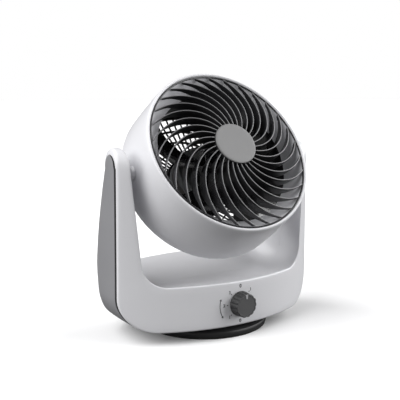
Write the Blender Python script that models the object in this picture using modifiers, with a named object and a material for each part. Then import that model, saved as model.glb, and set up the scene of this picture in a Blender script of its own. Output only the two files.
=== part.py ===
"""Air circulator: a round fan head that tilts in a U-shaped yoke, which swings to and fro on a round foot.

Frame: metres, +Z up, the front faces -Y. The origin is on the floor, on the axis that the yoke swings about.
The head is drawn in its own frame: +Z out of the front grille, +Y up its face, origin on the tilt axis.
"""

import math

import bmesh
import bpy
from mathutils import Matrix, Vector

# --- Driving dimensions -------------------------------------------------------------------------
GAP = 0.0003  # clearance between two solids that touch
WALL = 0.0025  # moulded wall

# Foot
FOOT_RADIUS = 0.092
PAD_THICKNESS = 0.0025
FOOT_EDGE_Z = 0.008
FOOT_TOP_Z = 0.014
POST_RADIUS = 0.012

# Yoke, in the front view
YOKE_HALF_WIDTH = 0.159
YOKE_BOTTOM_Z = 0.0172
FLOOR_Z = 0.080  # front lip of the saddle under the head
OUTER_CORNER = 0.0465
INNER_CORNER = 0.033
ARM_ROOT_WIDTH = 0.027
ARM_TIP_WIDTH = 0.0149
ARM_TIP_INSET = 0.0016
DOME_START_Z = 0.236
DOME_RISE = 0.027

# Yoke, in plan and from the side
BOW_RADIUS = 0.261  # the front and back faces are arcs of this radius
SIDE_FRONT_Y = -0.0398
SIDE_BACK_Y = 0.028
BACK_LEAN_START_Z = 0.082
BACK_LEAN = 0.031
BACK_LEAN_POWER = 1.6
FLOOR_TROUGH = 0.013
FLOOR_BACK_LIFT = 0.005
SIDE_BULGE = 0.0025
CORNER_TUCK = 0.013  # how much the lower back corners are rounded off
EDGE_CHAMFER = 0.003
SPLIT_Y = -0.012  # joint plane of the two yoke shells
PLATE_RADIUS = 0.0716
PLATE_THICKNESS = 0.003

# Side covers
COVER_THICKNESS = 0.003
COVER_FRONT_BORDER = 0.0035
COVER_TOP_RISE = 0.018
COVER_TOP_HALF_DEPTH = 0.0155
COVER_BACK_BORDER = 0.004

# Oscillation drive
CRANK_CENTRE_Y = 0.042
CRANK_THROW = 0.0241
CRANK_PIN_RADIUS = 0.003
SLOT_PLAY = 0.0019

# Head
PIVOT_Y = -0.022
PIVOT_Z = 0.228
HEAD_TILT = math.radians(33.7)
PIVOT_DEPTH = 0.056  # from the rim plane back to the tilt axis
GRILLE_RADIUS = 0.118
RIM_WIDTH = 0.005
DRUM_RADIUS = 0.127
DRUM_STRAIGHT = 0.078
BOWL_DEPTH = 0.047
BACK_FLAT_RADIUS = 0.067
REAR_COVER_RADIUS = 0.1155
HUB_RADIUS = 0.0304
GRILLE_DOME = 0.0149  # how far the hub disc stands in front of the rim plane
VANE_COUNT = 30
VANE_START = math.radians(2.3)  # the first vane's angle at the hub
VANE_DEPTH = 0.015
VANE_THICKNESS = 0.0018
REAR_SLOT_COUNT = 24
BOSS_RADIUS = 0.0095
BOSS_END_X = 0.1384
PIN_RADIUS = 0.0055
BUSH_RADIUS = 0.0085
PIN_END_X = 0.1504

# Fan and motor
BLADE_COUNT = 5
BLADE_START = math.radians(28)
BLADE_RADIUS = 0.101
MOTOR_RADIUS = 0.0446
SHAFT_RADIUS = 0.004

# Control
KNOB_Z = 0.048
KNOB_RADIUS = 0.0175
KNOB_DEPTH = 0.015
KNOB_LOBES = 14
SWITCH_SHAFT_RADIUS = 0.003

# --- Values worked out from them ----------------------------------------------------------------
BOW_CENTRE_DROP = math.sqrt(BOW_RADIUS**2 - YOKE_HALF_WIDTH**2)
FRONT_CENTRE_Y = SIDE_FRONT_Y - (BOW_RADIUS - BOW_CENTRE_DROP)
BACK_CENTRE_Y = SIDE_BACK_Y + (BOW_RADIUS - BOW_CENTRE_DROP)
ARM_CENTRE_X = YOKE_HALF_WIDTH - ARM_TIP_INSET - ARM_TIP_WIDTH / 2
PLATE_TOP_Z = YOKE_BOTTOM_Z + PLATE_THICKNESS

# --- Scene and materials ------------------------------------------------------------------------
for old in list(bpy.data.objects):
    bpy.data.objects.remove(old, do_unlink=True)
for old in list(bpy.data.collections):
    bpy.data.collections.remove(old)

PARTS = bpy.data.collections.new("air_circulator")
CUTTERS = bpy.data.collections.new("cutters")
for group in (PARTS, CUTTERS):
    bpy.context.scene.collection.children.link(group)


def material(name, colour, roughness, metallic=0.0):
    """A Principled material of one finish."""
    made = bpy.data.materials.new(name)
    made.use_nodes = True
    shader = made.node_tree.nodes["Principled BSDF"]
    shader.inputs["Base Color"].default_value = (*colour, 1.0)
    shader.inputs["Roughness"].default_value = roughness
    shader.inputs["Metallic"].default_value = metallic
    return made


WHITE = material("white_shell", (0.80, 0.80, 0.82), 0.45)
SILVER = material("silver_cover", (0.36, 0.36, 0.38), 0.4, 0.4)
CHARCOAL = material("charcoal_grille", (0.035, 0.035, 0.038), 0.35)
HUB_GREY = material("grey_hub", (0.26, 0.26, 0.26), 0.45)
BLACK = material("black_plastic", (0.015, 0.015, 0.016), 0.3)
KNOB_GREY = material("knob_plastic", (0.07, 0.07, 0.07), 0.45)
FOOT_BLACK = material("foot_plastic", (0.03, 0.03, 0.03), 0.5)
RUBBER = material("rubber", (0.02, 0.02, 0.02), 0.8)
STEEL = material("steel", (0.55, 0.55, 0.56), 0.3, 1.0)
BRONZE = material("bronze", (0.5, 0.33, 0.16), 0.4, 1.0)
NYLON = material("nylon", (0.75, 0.74, 0.7), 0.5)
ZINC = material("motor_case", (0.45, 0.46, 0.47), 0.45, 0.8)


# --- Modelling helpers --------------------------------------------------------------------------
def add_object(name, mesh, finish=None, parent=None):
    """Links a mesh as a part, or as a cutter where it has no finish."""
    made = bpy.data.objects.new(name, mesh)
    if finish is None:
        CUTTERS.objects.link(made)
        made.hide_render = True
        made.display_type = "WIRE"
    else:
        PARTS.objects.link(made)
        mesh.materials.append(finish)
    made.parent = parent
    return made


def turned(name, profile, finish=None, parent=None, segments=36):
    """A shape turned about Z. The profile is (radius, z) points, down the outer side and up the inner one.

    It is a closed ring, unless its two ends lie on the axis.
    """
    mesh = bpy.data.meshes.new(name)
    points = [(radius, 0.0, z) for radius, z in profile]
    edges = [(i, i + 1) for i in range(len(points) - 1)]
    if profile[0][0] > 0 or profile[-1][0] > 0:
        edges.append((len(points) - 1, 0))
    mesh.from_pydata(points, edges, [])
    made = add_object(name, mesh, finish, parent)
    screw = made.modifiers.new("turn", "SCREW")
    screw.steps = screw.render_steps = segments
    screw.use_merge_vertices = True
    screw.merge_threshold = 0.00001
    return made


def rod(name, radius, low, high, finish=None, parent=None, segments=24, bore=0.0):
    """A round bar, or a ring where it has a bore, along Z from low to high."""
    outer = [(radius, high), (radius, low)]
    inner = [(bore, low), (bore, high)]
    if bore == 0.0:
        return turned(name, [(0.0, high), *outer, (0.0, low)], finish, parent, segments)
    return turned(name, outer + inner, finish, parent, segments)


def aim(made, start, direction):
    """Puts a shape that was drawn along Z at a point, with its +Z along a direction."""
    turn = Vector(direction).to_track_quat("Z", "Y").to_matrix().to_4x4()
    made.matrix_local = Matrix.Translation(start) @ turn
    return made


def block(name, low, high, finish=None, parent=None):
    """A box between two corners."""
    low, high = Vector(low), Vector(high)
    shape = bmesh.new()
    bmesh.ops.create_cube(shape, size=1.0)
    bmesh.ops.scale(shape, vec=high - low, verts=shape.verts)
    bmesh.ops.translate(shape, vec=(low + high) / 2, verts=shape.verts)
    mesh = bpy.data.meshes.new(name)
    shape.to_mesh(mesh)
    shape.free()
    return add_object(name, mesh, finish, parent)


def add_loft(shape, sections, cap_start=True, cap_end=True):
    """Adds a skin over sections that have the same number of points, to a bmesh."""
    rings = [[shape.verts.new(p) for p in section] for section in sections]
    count = len(rings[0])
    for ring, following in zip(rings, rings[1:]):
        for i in range(count):
            j = (i + 1) % count
            shape.faces.new((ring[i], ring[j], following[j], following[i]))
    if cap_start:
        shape.faces.new(list(reversed(rings[0])))
    if cap_end:
        shape.faces.new(rings[-1])


def loft_mesh(name, lofts, cap_start=True):
    """A mesh of one or more lofts, each a list of sections."""
    shape = bmesh.new()
    for sections in lofts:
        add_loft(shape, sections, cap_start)
    bmesh.ops.recalc_face_normals(shape, faces=shape.faces)
    mesh = bpy.data.meshes.new(name)
    shape.to_mesh(mesh)
    shape.free()
    return mesh


def mirror(made):
    """Completes a half that is open at the plane x = 0."""
    modifier = made.modifiers.new("mirror", "MIRROR")
    modifier.use_axis = (True, False, False)
    modifier.merge_threshold = 0.00005
    return made


def boolean(made, other, operation="DIFFERENCE"):
    """Cuts, joins or keeps the common part with another shape."""
    modifier = made.modifiers.new(operation.lower(), "BOOLEAN")
    modifier.operation = operation
    modifier.object = other
    modifier.solver = "EXACT"
    return made


def screw(name, start, direction, length, finish=STEEL, parent=None, head=0.0032, shank=0.0016):
    """A pan-head screw: the head's underside is at start, and the shank runs along direction."""
    rise = head * 0.75
    profile = [(0.0, length), (shank, length - shank), (shank, 0.0), (head, 0.0), (head, -rise * 0.6)]
    profile += [(head * 0.7, -rise), (0.0, -rise)]
    profile.reverse()
    made = turned(name, list(reversed(profile)), finish, parent, segments=12)
    return aim(made, start, direction)


def lerp(a, b, share):
    """The value a share of the way from a to b."""
    return a + (b - a) * share


# --- The yoke's surface -------------------------------------------------------------------------
def bow(x):
    """How far the bowed front or back stands out at x, past its edge at the sides."""
    return math.sqrt(BOW_RADIUS**2 - x * x) - BOW_CENTRE_DROP


def side_back(z):
    """The back edge of the yoke's side at a height: it leans forward as the arm rises."""
    share = max(0.0, (z - BACK_LEAN_START_Z) / (DOME_START_Z - BACK_LEAN_START_Z))
    return SIDE_BACK_Y - BACK_LEAN * share**BACK_LEAN_POWER


class Station:
    """One section of the yoke, between its outer and inner contours in the front view (left half)."""

    def __init__(
        self, outer, inner, out_normal, in_normal, saddle=0.0, side=1.0, rise=0.0, tuck=0.0
    ):
        self.outer, self.inner = Vector(outer), Vector(inner)
        self.out_normal, self.in_normal = Vector(out_normal), Vector(in_normal)
        self.saddle = saddle  # 1 under the head, 0 in the arms
        self.side = side  # 1 where the outer side bulges, 0 underneath
        self.rise = rise  # angle up the dome of the arm's tip
        self.tuck = tuck * CORNER_TUCK  # how far forward the back edge is drawn

    def outer_wall(self):
        """Thickness of the outer wall: the covers are let into it."""
        covered = self.outer.x < -(YOKE_HALF_WIDTH - OUTER_CORNER) + GAP
        return WALL + COVER_THICKNESS + 0.001 if covered else WALL

    def front(self, point):
        """Depth of the front face at a point (x, z) of the section."""
        if self.rise:
            return lerp(self.tip_centre(), SIDE_FRONT_Y - bow(point.x), math.cos(self.rise))
        return SIDE_FRONT_Y - bow(point.x)

    def back(self, point):
        """Depth of the back face at a point (x, z) of the section."""
        if self.rise:
            full = side_back(DOME_START_Z) + bow(point.x)
            return lerp(self.tip_centre(), full, math.cos(self.rise))
        return side_back(point.y) + bow(point.x)

    @staticmethod
    def tip_centre():
        """The middle of the arm's tip, in depth."""
        return (SIDE_FRONT_Y + side_back(DOME_START_Z)) / 2


def base_stations(shares):
    """Sections under the head, from the middle outwards."""
    outer_end = YOKE_HALF_WIDTH - OUTER_CORNER
    inner_end = YOKE_HALF_WIDTH - ARM_ROOT_WIDTH - INNER_CORNER
    for share in shares:
        outer = (-outer_end * share, YOKE_BOTTOM_Z)
        inner = (-inner_end * share, FLOOR_Z)
        yield Station(outer, inner, (0, -1), (0, 1), saddle=1.0, side=0.0, tuck=0.45 * share**2)


def corner_stations(angles):
    """Sections round the yoke's lower corner."""
    for angle in angles:
        sine, cosine = math.sin(angle), math.cos(angle)
        outer = (
            -YOKE_HALF_WIDTH + OUTER_CORNER * (1 - sine),
            YOKE_BOTTOM_Z + OUTER_CORNER * (1 - cosine),
        )
        inner_end = YOKE_HALF_WIDTH - ARM_ROOT_WIDTH
        inner = (-inner_end + INNER_CORNER * (1 - sine), FLOOR_Z + INNER_CORNER * (1 - cosine))
        tuck = 0.45 + 0.55 * math.sin(2 * angle)
        outward, inward = (-sine, -cosine), (sine, cosine)
        yield Station(outer, inner, outward, inward, saddle=cosine**2, side=sine**2, tuck=tuck)


def arm_stations(shares):
    """Sections up the arm, to where its tip starts to round."""
    for share in shares:
        outer = (
            -YOKE_HALF_WIDTH + ARM_TIP_INSET * share,
            lerp(YOKE_BOTTOM_Z + OUTER_CORNER, DOME_START_Z, share),
        )
        root = -YOKE_HALF_WIDTH + ARM_ROOT_WIDTH
        tip = -ARM_CENTRE_X + ARM_TIP_WIDTH / 2
        inner = (lerp(root, tip, share), lerp(FLOOR_Z + INNER_CORNER, DOME_START_Z, share))
        yield Station(outer, inner, (-1, 0), (1, 0))


def tip_stations(angles):
    """Sections over the rounded tip of the arm."""
    for angle in angles:
        half = ARM_TIP_WIDTH / 2 * math.cos(angle) ** 0.4
        height = DOME_START_Z + DOME_RISE * math.sin(angle)
        outer, inner = (-ARM_CENTRE_X - half, height), (-ARM_CENTRE_X + half, height)
        yield Station(outer, inner, (-1, 0), (1, 0), rise=angle)


def bulge(station, y, front, back):
    """How far the outer side stands out at a depth."""
    share = min(1.0, max(0.0, (y - front) / (back - front)))
    return SIDE_BULGE * 4 * share * (1 - share) * station.side * math.cos(station.rise)


def yoke_section(station, wall=0.0, side_wall=0.0, chamfer=EDGE_CHAMFER):
    """The closed section at a station, drawn inwards by a wall where it is the cavity's."""
    outer = station.outer - station.out_normal * side_wall
    lift = station.in_normal * (FLOOR_BACK_LIFT * station.saddle)
    inner = station.inner - station.in_normal * wall
    inner_back = inner + lift
    depths = [station.front(p) + wall for p in (station.outer, station.inner)]
    depths += [station.back(station.inner) - wall, station.back(station.outer) - wall - station.tuck]
    front_out, front_in, back_in, back_out = depths
    width = (inner - outer).length
    chamfer = min(chamfer, (back_out - front_out) * 0.15)
    edge = min(chamfer / width, 0.2)
    points = [(outer, front_out + chamfer)]
    for share in (edge, 0.5, 1 - edge):
        place = outer.lerp(inner, share)
        points.append((place, station.front(place) + wall))
    points.append((inner, front_in + chamfer))
    for share in (0.25, 0.5, 0.75):
        sag = FLOOR_TROUGH * station.saddle * 4 * share * (1 - share)
        place = inner + lift * share - station.in_normal * sag
        points.append((place, lerp(front_in, back_in, share)))
    points.append((inner_back, back_in - chamfer))
    for share in (1 - edge, 0.5, edge):
        place = outer.lerp(inner_back, share)
        tuck = station.tuck * (1 - share) ** 3
        points.append((place, station.back(place) - wall - tuck))
    points.append((outer, back_out - chamfer))
    for share in (0.75, 0.5, 0.25):
        y = lerp(front_out, back_out, share)
        out = station.out_normal * bulge(station, y, front_out, back_out)
        points.append((outer + out, y))
    return [Vector((place.x, y, place.y)) for place, y in points]


CORNER_ANGLES = [math.radians(a) for a in (0, 18, 36, 54, 72, 90)]
YOKE_STATIONS = [
    *base_stations((0.0, 0.35, 0.7)),
    *corner_stations(CORNER_ANGLES),
    *arm_stations((0.2, 0.4, 0.6, 0.8, 1.0)),
    *tip_stations([math.radians(a) for a in (25, 48, 68, 84)]),
]
CAVITY_STATIONS = YOKE_STATIONS[:-3]


def yoke_body(name, finish=None):
    """The whole yoke as one solid."""
    sections = [yoke_section(s) for s in YOKE_STATIONS]
    return mirror(add_object(name, loft_mesh(name, [sections], cap_start=False), finish))


def cover_span(station):
    """The front and back edges of the side cover at a station, in depth."""
    front = station.front(station.outer) + COVER_FRONT_BORDER
    height = station.outer.y
    if station.rise:
        share = (height - DOME_START_Z) / COVER_TOP_RISE
        half = COVER_TOP_HALF_DEPTH * math.sqrt(max(0.0, 1 - share**2))
        return station.tip_centre() - half, station.tip_centre() + half
    reach = max(0.0, (height - BACK_LEAN_START_Z) / (DOME_START_Z - BACK_LEAN_START_Z))
    return front, station.back(station.outer) - station.tuck - COVER_BACK_BORDER * reach**3


def cover_section(station, outside=0.0, inside=COVER_THICKNESS, play=0.0):
    """The closed section of the side cover, or of its recess where it has play."""
    front, back = cover_span(station)
    reach = 0.006 if play and not station.rise else play
    edges = station.front(station.outer), station.back(station.outer) - station.tuck
    depths = [lerp(front, back, share) for share in (0.0, 0.25, 0.5, 0.75, 1.0)]
    if play:
        depths = [front - play, *depths, back + reach]
    outer_row, inner_row = [], []
    for y in depths:
        out = bulge(station, y, *edges)
        outer_row.append((station.outer + station.out_normal * (out + outside), y))
        inner_row.append((station.outer + station.out_normal * (out - inside), y))
    return [Vector((p.x, y, p.y)) for p, y in outer_row + inner_row[::-1]]


COVER_STATIONS = [
    *corner_stations(CORNER_ANGLES),
    *arm_stations((0.2, 0.4, 0.6, 0.8, 1.0)),
    *tip_stations([math.radians(a) for a in (14, 26, 36)]),
]


def side_cover(name, finish, side):
    """The silver cover on one side of the yoke: side is -1 for left and 1 for right."""
    sections = [cover_section(s) for s in COVER_STATIONS]
    mesh = loft_mesh(name, [sections])
    if side > 0:
        mesh.transform(Matrix.Scale(-1, 4, (1, 0, 0)))
        mesh.flip_normals()
    return add_object(name, mesh, finish)


def cover_recess():
    """Cuts the seats of both side covers into the yoke."""
    sections = [
        cover_section(s, outside=0.002, inside=COVER_THICKNESS + GAP, play=GAP) for s in COVER_STATIONS
    ]
    first, last = sections[0], sections[-1]
    sections.insert(0, [p + Vector((GAP, 0, 0)) for p in first])
    sections.append([p + Vector((0, 0, GAP)) for p in last])
    left = add_object("cut_recess_left", loft_mesh("cut_recess_left", [sections]))
    mesh = loft_mesh("cut_recess_right", [sections])
    mesh.transform(Matrix.Scale(-1, 4, (1, 0, 0)))
    mesh.flip_normals()
    return left, add_object("cut_recess_right", mesh)


# --- Foot ---------------------------------------------------------------------------------------
def make_foot():
    """The round foot that stands still, with the post that the yoke swings on."""
    rim_z = PAD_THICKNESS + GAP
    pad_radius = FOOT_RADIUS - 0.001
    rod("anti_slip_pad", pad_radius, 0.0, PAD_THICKNESS, RUBBER, segments=48)
    hole = POST_RADIUS + GAP
    skin = FOOT_TOP_Z - WALL
    outer = [
        (hole, FOOT_TOP_Z),
        (FOOT_RADIUS - 0.016, FOOT_TOP_Z),
        (FOOT_RADIUS - 0.005, FOOT_TOP_Z - 0.0018),
        (FOOT_RADIUS - 0.001, FOOT_EDGE_Z + 0.0025),
        (FOOT_RADIUS, FOOT_EDGE_Z),
        (FOOT_RADIUS, rim_z),
    ]
    inner = [(FOOT_RADIUS - WALL, rim_z), (FOOT_RADIUS - WALL, FOOT_EDGE_Z)]
    inner += [(FOOT_RADIUS - 0.016, skin), (hole, skin)]
    turned("foot_disc", outer + inner, FOOT_BLACK, segments=48)
    ballast_top = rim_z + 0.0045
    rod("ballast_plate", FOOT_RADIUS - 0.014, rim_z, ballast_top, ZINC, segments=32)
    flange_low, flange_high = ballast_top + GAP, skin - GAP
    neck_z, neck_top = PLATE_TOP_Z + 0.0036, PLATE_TOP_Z + 0.0068
    neck = POST_RADIUS - 0.004
    post = [
        (0.0, neck_top),
        (neck, neck_top),
        (neck, neck_z),
        (POST_RADIUS, neck_z),
        (POST_RADIUS, flange_high),
        (POST_RADIUS + 0.010, flange_high),
        (POST_RADIUS + 0.010, flange_low),
        (0.0, flange_low),
    ]
    made = turned("swivel_post", post, STEEL)
    tap = rod("cut_post_tap", 0.0019, neck_z - 0.004, neck_top + 0.001, segments=12)
    boolean(made, tap)
    thrust_high = YOKE_BOTTOM_Z - GAP
    rod("thrust_ring", 0.062, FOOT_TOP_Z + GAP, thrust_high, NYLON, segments=36, bore=0.042)
    clip_low = PLATE_TOP_Z + GAP
    rod("retaining_ring", 0.020, clip_low, neck_z - GAP, STEEL, bore=POST_RADIUS + GAP)
    make_oscillation_link(neck, neck_z + GAP, neck_top)
    screw("post_screw", (0, 0, neck_top + GAP), (0, 0, -1), 0.006, head=0.010, shank=0.0016)


def make_oscillation_link(neck, low, high):
    """The slotted arm on the post that the crank pin pushes against."""
    half = CRANK_PIN_RADIUS + SLOT_PLAY
    reach = CRANK_CENTRE_Y + CRANK_THROW
    shape = bmesh.new()
    outline = []
    for step in range(13):
        angle = math.pi * step / 12
        outline.append((half + 0.004, 0.0, angle, reach))
    points = [Vector((r * math.cos(a), y + r * math.sin(a), low)) for r, _, a, y in outline]
    points += [Vector((0.016 * math.cos(a), 0.016 * math.sin(a), low)) for _, _, a, _ in outline_back()]
    face = shape.faces.new([shape.verts.new(p) for p in points])
    grown = bmesh.ops.extrude_face_region(shape, geom=[face])
    lifted = [v for v in grown["geom"] if isinstance(v, bmesh.types.BMVert)]
    bmesh.ops.translate(shape, vec=(0, 0, high - GAP - low), verts=lifted)
    bmesh.ops.recalc_face_normals(shape, faces=shape.faces)
    mesh = bpy.data.meshes.new("oscillation_link")
    shape.to_mesh(mesh)
    shape.free()
    link = add_object("oscillation_link", mesh, NYLON)
    boolean(link, rod("cut_link_bore", neck + GAP, low - 0.002, high + 0.002, segments=24))
    near = CRANK_CENTRE_Y - CRANK_THROW
    boolean(link, block("cut_link_slot", (-half, near, low - 0.002), (half, reach, high + 0.002)))
    end = rod("cut_link_slot_end", half, low - 0.002, high + 0.002, segments=20)
    end.location.y = reach
    boolean(link, end)


def outline_back():
    """Angles round the back of the oscillation link's ring."""
    return [(0.0, 0.0, math.pi + math.pi * step / 12, 0.0) for step in range(13)]


# --- Yoke ---------------------------------------------------------------------------------------
def make_yoke():
    """The two white shells, the silver side covers and the plate underneath."""
    big = 1.0
    sections = [yoke_section(s, WALL, s.outer_wall(), 0.001) for s in CAVITY_STATIONS]
    cavity = mirror(add_object("cut_cavity", loft_mesh("cut_cavity", [sections], cap_start=False)))
    recesses = cover_recess()
    opening = rod("cut_bottom", PLATE_RADIUS + GAP, 0.0, YOKE_BOTTOM_Z + WALL * 2, segments=48)
    bush_hole = rod("cut_bush_holes", BUSH_RADIUS, -0.1485, 0.1485, segments=24)
    aim(bush_hole, (0, PIVOT_Y, PIVOT_Z), (1, 0, 0))
    shaft_hole = rod("cut_shaft_hole", SWITCH_SHAFT_RADIUS + 0.001, 0.0, 0.02, segments=16)
    aim(shaft_hole, (0, FRONT_CENTRE_Y + 0.01, KNOB_Z), (0, -1, 0))
    cutters = [cavity, *recesses, opening, bush_hole, shaft_hole, *make_rear_fittings()]
    halves = {
        "yoke_front_shell": ((-big, -big, -big), (big, SPLIT_Y - GAP / 2, big)),
        "yoke_rear_shell": ((-big, SPLIT_Y + GAP / 2, -big), (big, big, big)),
    }
    for name, (low, high) in halves.items():
        shell = yoke_body(name, WHITE)
        for cutter in cutters:
            boolean(shell, cutter)
        boolean(shell, block("keep_" + name, low, high), "INTERSECT")
    side_cover("side_cover_left", SILVER, -1)
    side_cover("side_cover_right", SILVER, 1)
    plate = rod(
        "base_plate", PLATE_RADIUS, YOKE_BOTTOM_Z, PLATE_TOP_Z, BLACK, segments=48, bore=POST_RADIUS + GAP
    )
    plate.data.update()


def make_rear_fittings():
    """The screws and the cable gland in the rear shell. Returns the cutters of their holes."""
    holes = []
    places = [(-0.105, 0.034), (0.105, 0.034), (-0.060, 0.066), (0.060, 0.066)]
    for number, (x, z) in enumerate(places, 1):
        face_y = SIDE_BACK_Y + bow(x)
        seat = Vector((x, face_y - 0.0005, z))
        hole = rod(f"cut_shell_screw_{number}", 0.0036, -0.01, 0.01, segments=12)
        holes.append(aim(hole, seat, (0, 1, 0)))
        screw(f"shell_screw_{number}", seat - Vector((0, 0.0024, 0)), (0, -1, 0), 0.018)
    gland_x, gland_z = 0.0, 0.034
    face_y = SIDE_BACK_Y + bow(gland_x)
    hole = rod("cut_gland", 0.0053, -0.01, 0.01, segments=20)
    holes.append(aim(hole, (gland_x, face_y, gland_z), (0, 1, 0)))
    flange = [
        (0.008, 0.003),
        (0.008, GAP),
        (0.005, GAP),
        (0.005, -0.006),
        (0.0035, -0.006),
        (0.0035, 0.003),
    ]
    gland = turned("cord_gland", flange, BLACK, segments=20)
    aim(gland, (gland_x, face_y, gland_z), (0, 1, 0))
    return holes


def make_drive():
    """The slow motor that swings the yoke, its crank, and the rotary switch with its knob."""
    disc_low = PLATE_TOP_Z + 0.0108
    disc_high = disc_low + 0.003
    motor_low = disc_high + 0.002
    centre = (0, CRANK_CENTRE_Y, 0)
    motor = rod("oscillation_motor", 0.024, motor_low, motor_low + 0.016, ZINC, segments=24)
    motor.location = centre
    arm_half = CRANK_THROW + 0.0269
    bracket_top = motor_low + 0.0183
    bracket_y = (CRANK_CENTRE_Y - 0.014, CRANK_CENTRE_Y + 0.006)
    bracket = block(
        "drive_bracket",
        (-arm_half, bracket_y[0], PLATE_TOP_Z + GAP),
        (arm_half, bracket_y[1], bracket_top),
        ZINC,
    )
    inside = block(
        "cut_drive_bracket",
        (-arm_half + 0.0025, bracket_y[0] - 0.01, 0.0),
        (arm_half - 0.0025, bracket_y[1] + 0.01, bracket_top - 0.002),
    )
    boolean(bracket, inside)
    crank_profile = [
        (0.0, motor_low - GAP),
        (0.006, motor_low - GAP),
        (0.006, disc_high),
        (CRANK_THROW + 0.005, disc_high),
        (CRANK_THROW + 0.005, disc_low),
        (0.0, disc_low),
    ]
    crank = turned("crank_disc", crank_profile, NYLON, segments=32)
    crank.location = centre
    pin = rod("join_crank_pin", CRANK_PIN_RADIUS, PLATE_TOP_Z + 0.0022, disc_low + 0.001, segments=16)
    pin.location = (0, CRANK_CENTRE_Y + CRANK_THROW, 0)
    boolean(crank, pin, "UNION")
    inner_y = FRONT_CENTRE_Y + WALL
    half = 0.014
    switch = block(
        "rotary_switch",
        (-half, inner_y + 0.0016, KNOB_Z - half),
        (half, inner_y + 0.018, KNOB_Z + half),
        NYLON,
    )
    bore = rod("cut_switch_bore", SWITCH_SHAFT_RADIUS + GAP, -0.012, 0.012, segments=16)
    aim(bore, (0, inner_y, KNOB_Z), (0, -1, 0))
    boolean(switch, bore)
    shaft = rod("switch_shaft", SWITCH_SHAFT_RADIUS, -0.0115, 0.0125, STEEL, segments=16)
    aim(shaft, (0, inner_y, KNOB_Z), (0, -1, 0))
    make_knob(inner_y)


def make_knob(inner_y):
    """The scalloped control knob."""
    sides = KNOB_LOBES * 4
    shape = bmesh.new()
    rings = []
    face = KNOB_DEPTH + 0.0005
    for height, base in ((0.0005, 1.0), (0.003, 1.0), (face - 0.002, 0.96), (face, 0.88)):
        ring = []
        for step in range(sides):
            angle = 2 * math.pi * step / sides
            lobe = 0.035 * math.cos(KNOB_LOBES * angle) if height > 0.001 else 0.0
            radius = KNOB_RADIUS * base * (1 - 0.035 + lobe)
            ring.append(Vector((radius * math.cos(angle), radius * math.sin(angle), height)))
        rings.append(ring)
    add_loft(shape, rings)
    bmesh.ops.recalc_face_normals(shape, faces=shape.faces)
    mesh = bpy.data.meshes.new("control_knob")
    shape.to_mesh(mesh)
    shape.free()
    knob = add_object("control_knob", mesh, KNOB_GREY)
    aim(knob, (0, FRONT_CENTRE_Y, KNOB_Z), (0, -1, 0))
    bore = rod("cut_knob_bore", SWITCH_SHAFT_RADIUS + GAP, -0.001, 0.0105 + GAP, segments=16)
    aim(bore, (0, FRONT_CENTRE_Y, KNOB_Z), (0, -1, 0))
    boolean(knob, bore)


# --- Head ---------------------------------------------------------------------------------------
def depth(behind_rim):
    """Height in the head's frame of a plane this far behind the rim."""
    return PIVOT_DEPTH - behind_rim


def bowl(radius, inset=0.0):
    """How far behind the rim the bowl's skin lies at a radius."""
    share = (radius - BACK_FLAT_RADIUS) / (DRUM_RADIUS - BACK_FLAT_RADIUS - inset)
    return DRUM_STRAIGHT + (BOWL_DEPTH - inset) * math.sqrt(max(0.0, 1 - share**2))


def bowl_points(radii, inset=0.0):
    """Points along the bowl at some radii."""
    return [(r, depth(bowl(r, inset))) for r in radii]


def make_head_frame():
    """The empty that the head's pieces hang on: it tilts them about the pivot."""
    frame = bpy.data.objects.new("head_frame", None)
    PARTS.objects.link(frame)
    frame.location = (0, PIVOT_Y, PIVOT_Z)
    frame.rotation_euler = (math.pi / 2 - HEAD_TILT, 0, 0)
    return frame


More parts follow.
